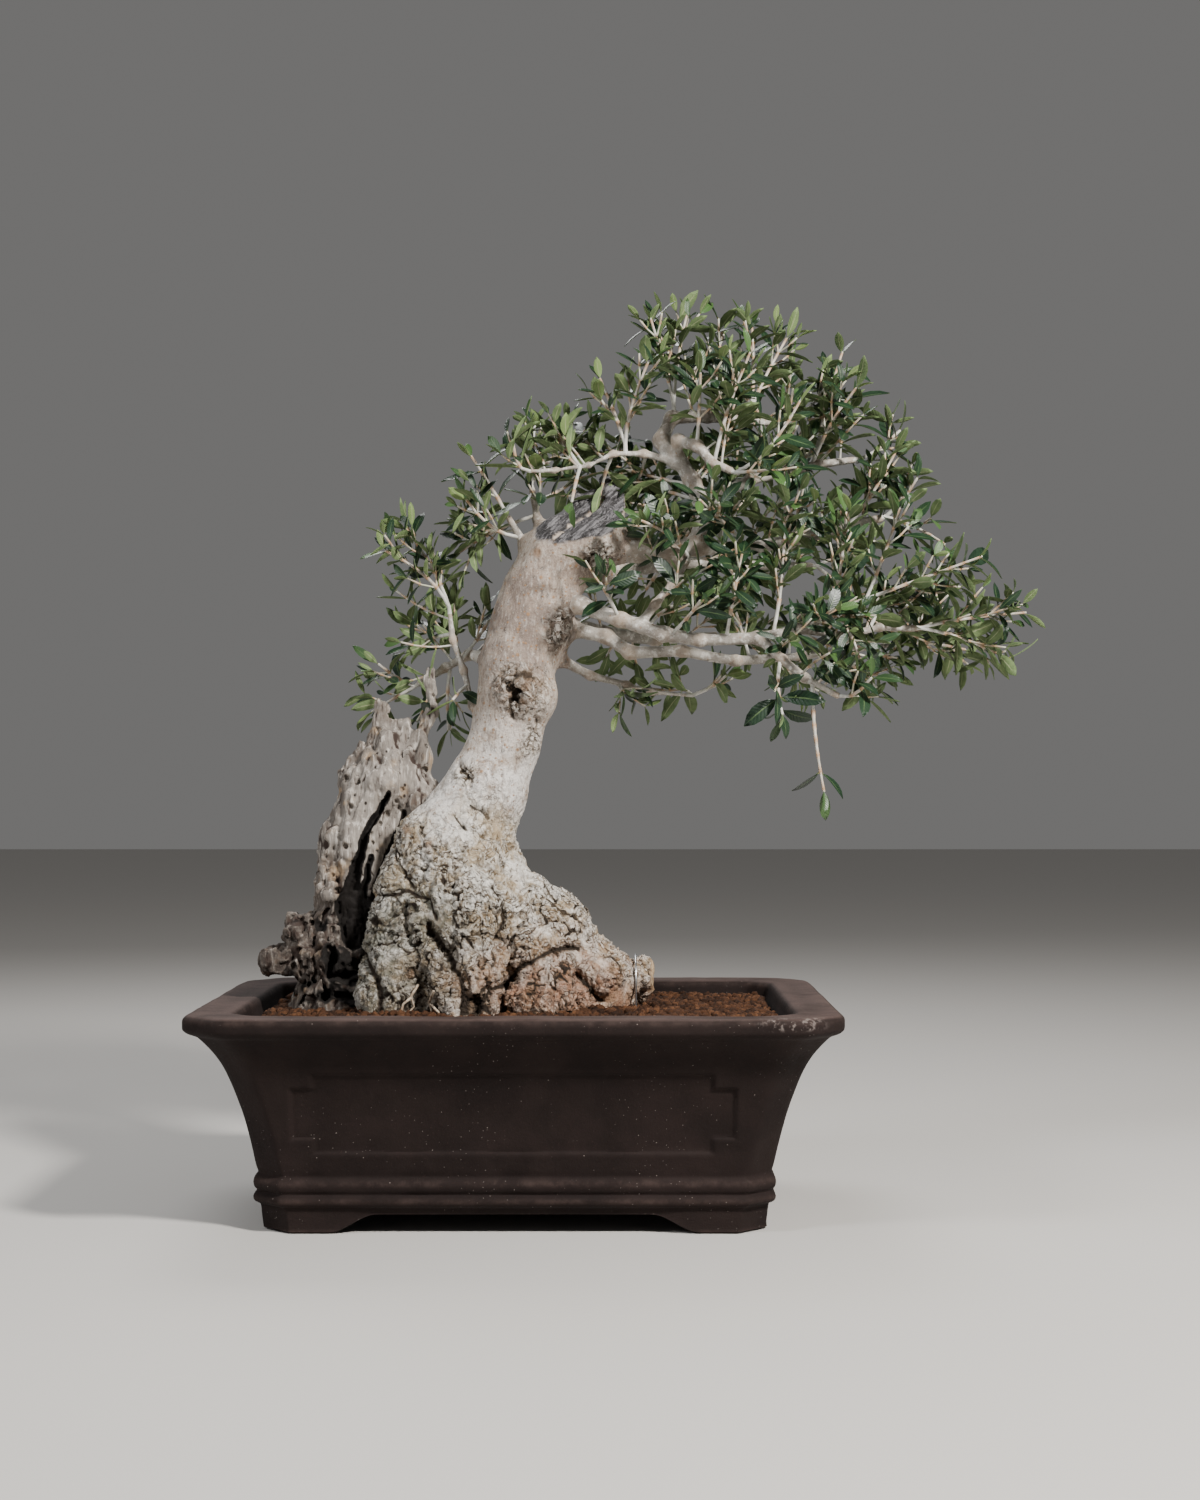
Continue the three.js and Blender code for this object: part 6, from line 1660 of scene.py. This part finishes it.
def leaf_shape(number):
    """One leaf, a millimetre long, with a closed body: a short stalk and a blade folded along its midrib."""
    kind = LEAF_KINDS[number]
    half = LEAF_WIDTH_SHARE / 2 * kind["width"]
    points, along, beside = [], [], []
    for share, width in zip(LEAF_ROWS, LEAF_WIDTHS):
        reach = half * width
        thick = 0.02 if share > 0.1 else 0.034
        turn = kind["twist"] * share
        bend = -kind["arch"] * share ** 2
        shift = kind["sway"] * math.sin(math.pi * share)
        # Left margin, underside, right margin and the midrib on the upper face.
        for side, rise in ((-1, kind["fold"] * reach), (0, -thick), (1, kind["fold"] * reach), (0, thick * 0.4)):
            a, b = side * reach, rise
            points.append((math.cos(turn) * a - math.sin(turn) * b + shift, share,
                           math.sin(turn) * a + math.cos(turn) * b + bend))
            along.append(share)
            beside.append(side)
    faces, is_under = [], []
    for row in range(len(LEAF_ROWS) - 1):
        for step in range(4):
            a, b = row * 4 + step, row * 4 + (step + 1) % 4
            faces.append((a, b, b + 4, a + 4))
            is_under.append(step < 2)
    last = (len(LEAF_ROWS) - 1) * 4
    faces += [(3, 2, 1, 0), (last, last + 1, last + 2, last + 3)]
    is_under += [True, True]
    mesh = bpy.data.meshes.new(f"leaf {number}")
    mesh.from_pydata([Vector(point) * MM for point in points], [], faces)
    shape = bpy.data.objects.new(f"leaf {number}", mesh)
    store(shape, leaf_along=along, leaf_beside=beside)
    under = mesh.attributes.new("underside", "FLOAT", "FACE")
    under.data.foreach_set("value", np.array(is_under, dtype=np.float32))
    sharp = mesh.attributes.new("sharp_edge", "BOOLEAN", "EDGE")
    sharp.data.foreach_set("value", [edge.vertices[0] % 4 == edge.vertices[1] % 4 in (0, 2) for edge in mesh.edges])
    return shape


def leaf_tree(material):
    """Geometry nodes that set a leaf on every point, turned, sized and tinted as stored there."""
    tree, given = start_node_tree("set leaves", {"Shapes": "Collection"})
    shapes = add_node(tree, "GeometryNodeCollectionInfo", {
        "Collection": given["Shapes"], "Separate Children": True, "Reset Children": True})
    copies = add_node(tree, "GeometryNodeInstanceOnPoints", {
        "Points": given["Geometry"], "Instance": shapes.outputs[0], "Pick Instance": True,
        "Instance Index": named(tree, "kind", "INT"), "Rotation": named(tree, "turn", "QUATERNION"),
        "Scale": named(tree, "size")})
    end_node_tree(tree, copies.outputs[0], material)
    return tree


def olive_leaf():
    material, tree, place = start_material("olive leaf")
    along, beside, young, tint, is_under = (attribute(tree, name) for name in (
        "leaf_along", "leaf_beside", "young", "leaf_tint", "underside"))
    cloud = mottle(place, 9, 3, 0.6)
    side = combined("ABSOLUTE", beside)
    rib = times(fade(side, 0.13, 0.02), fade(along, 1.0, 0.55, 0.1, 0.7))
    # Fine side veins run out from the midrib at a slant.
    wave = combined("SINE", times(combined("SUBTRACT", along, times(side, 0.16)), 62))
    upper = coated(
        tree, (0.0032, 0.0135, 0.0062),
        (tint, (0.011, 0.033, 0.0125)),
        (fade(cloud, 0.35, 0.7, 0, 0.6), (0.014, 0.040, 0.017)),
        (fade(young, 0.35, 1.0, 0, 0.85), (0.07, 0.145, 0.036)),
        (rib, (0.10, 0.155, 0.06)),
        (times(fade(wave, 0.55, 1), 0.16), (0.045, 0.08, 0.03)))
    under = coated(
        tree, (0.085, 0.13, 0.05),
        (fade(cloud, 0.3, 0.7), (0.15, 0.21, 0.085)),
        (fade(young, 0.4, 1.0, 0, 0.5), (0.25, 0.36, 0.11)),
        (rib, (0.36, 0.38, 0.22)))
    leaf = coated(tree, upper, (is_under, under), (fade(along, 0.09, 0.03), (0.30, 0.27, 0.10)))
    gloss = combined("ADD", fade(cloud, 0.3, 0.7, 0.33, 0.45), times(is_under, 0.38))
    return dress(material, leaf, gloss, 0.38, (combined("ADD", times(wave, 0.25), cloud), 0.14))


def twig_bark():
    material, tree, place = start_material("twig bark")
    girth = combined("DIVIDE", attribute(tree, "girth"), MM)
    bark = coated(
        tree, (0.44, 0.43, 0.385),
        (fade(mottle(place, 6, 4, 0.6), 0.35, 0.65), (0.64, 0.63, 0.585)),
        (fade(girth, 0.95, 0.6, 0, 0.6), (0.46, 0.47, 0.29)),
        (times(attribute(tree, "bud"), 0.8), (0.40, 0.20, 0.07)))
    return dress(material, bark, 0.6, 0.5, (mottle(place, 1.4, 3, 0.6), 0.15))


def mark_buds(strand):
    """Stores where a twig's girth swells, at its nodes."""
    count = len(strand.data.vertices)
    girth = np.empty(count, dtype=np.float32)
    strand.data.attributes["girth"].data.foreach_get("value", girth)
    ends = np.empty(2 * len(strand.data.edges), dtype=np.int32)
    strand.data.edges.foreach_get("vertices", ends)
    a, b = ends.reshape(-1, 2).T
    bud = np.zeros(count)
    np.maximum.at(bud, b, (girth[b] > 1.12 * girth[a]).astype(float))
    store(strand, bud=bud)


def join_meshes(piece, meshes):
    """Puts several meshes and their materials into one piece."""
    parts = [add_object("part", mesh) for mesh in meshes]
    with bpy.context.temp_override(active_object=parts[0], selected_editable_objects=parts):
        bpy.ops.object.join()
    piece.data = parts[0].data
    bpy.data.objects.remove(parts[0])


leaf_shapes = shape_collection("leaf shapes", [leaf_shape(number) for number in range(len(LEAF_KINDS))])
set_leaves = leaf_tree(olive_leaf())
round_twigs = tube_tree(twig_bark())
foliage_of = {}
stems = [(limb, row) for limb, *rows in LEAFY_STEMS for row in rows]
for index, (limb, row) in enumerate(stems):
    grow_stem(foliage_of.setdefault(limb, Foliage()), limb, row, SEED + 1009 * index)

for index, (limb, foliage) in enumerate(foliage_of.items()):
    grow_spurs(foliage, limb, SEED + 100003 + 2003 * index)
    strand = make_strand("twigs", foliage.routes, foliage.girths)
    mark_buds(strand)
    twig_mesh = evaluated_mesh(strand, round_twigs, {"Sides": 6})
    bpy.data.objects.remove(strand)
    roots, turns, lengths, young, kinds = zip(*foliage.leaves)
    piece = make_strand(f"foliage_{limb}", [[root] for root in roots], [np.zeros(1) for _ in roots])
    tints = [lattice_value(step, len(roots), 2.0) * 0.5 + 0.5 for step in range(len(roots))]
    store(piece, size=lengths, young=young, leaf_tint=tints)
    piece.data.attributes.new("kind", "INT", "POINT").data.foreach_set("value", np.array(kinds, dtype=np.int32))
    turn = piece.data.attributes.new("turn", "QUATERNION", "POINT")
    turn.data.foreach_set("value", np.array(turns, dtype=np.float32).ravel())
    join_meshes(piece, [evaluated_mesh(piece, set_leaves, {"Shapes": leaf_shapes}), twig_mesh])
    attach(piece, "root")
    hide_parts(*[node for node in frame["nodes"] if node.startswith(f"leafy_stem_{limb}_")])
discard(leaf_shapes)

# ---------------------------------------------------------------- studio
# A plain pale floor, broad soft lights and the camera. They aren't part of the bonsai.

floor = make_piece("floor", np.array([[-6000, -6000, 0], [6000, -6000, 0], [6000, 9000, 0], [-6000, 9000, 0.0]]),
                   [[0, 1, 2, 3]])
floor_paint, _, _ = start_material("floor paint")
floor.data.materials.append(dress(floor_paint, (0.56, 0.54, 0.515, 1), 0.8))

world = bpy.data.worlds.new("studio air")
world.use_nodes = True
world.node_tree.nodes["Background"].inputs[0].default_value = (1, 0.985, 0.965, 1)
world.node_tree.nodes["Background"].inputs[1].default_value = 0.165
bpy.context.scene.world = world

TREE_MIDDLE = placed((40, 0, 330))


def add_softbox(name, place, size, power, colour=(1, 1, 1)):
    light = bpy.data.lights.new(name, "AREA")
    light.shape, light.size, light.energy, light.color = "DISK", size, power, colour
    lamp = add_object(name, light)
    lamp.location = placed(place)
    lamp.rotation_euler = (TREE_MIDDLE - lamp.location).to_track_quat("-Z", "Y").to_euler()


add_softbox("key", (1000, -1150, 1350), 0.24, 66, (1, 0.97, 0.925))
add_softbox("fill", (-1350, -1000, 1250), 0.5, 18, (0.97, 0.985, 1))
add_softbox("back", (-300, 1300, 1600), 0.9, 16)

camera_data = bpy.data.cameras.new("camera")
camera_data.lens, camera_data.sensor_width = 57.73, 36
camera_data.clip_end = 50
camera = add_object("camera", camera_data)
camera.location = placed((58.2, -1759.9, 307.0))
camera.rotation_euler = (math.radians(90.728), 0, 0)
bpy.context.scene.camera = camera
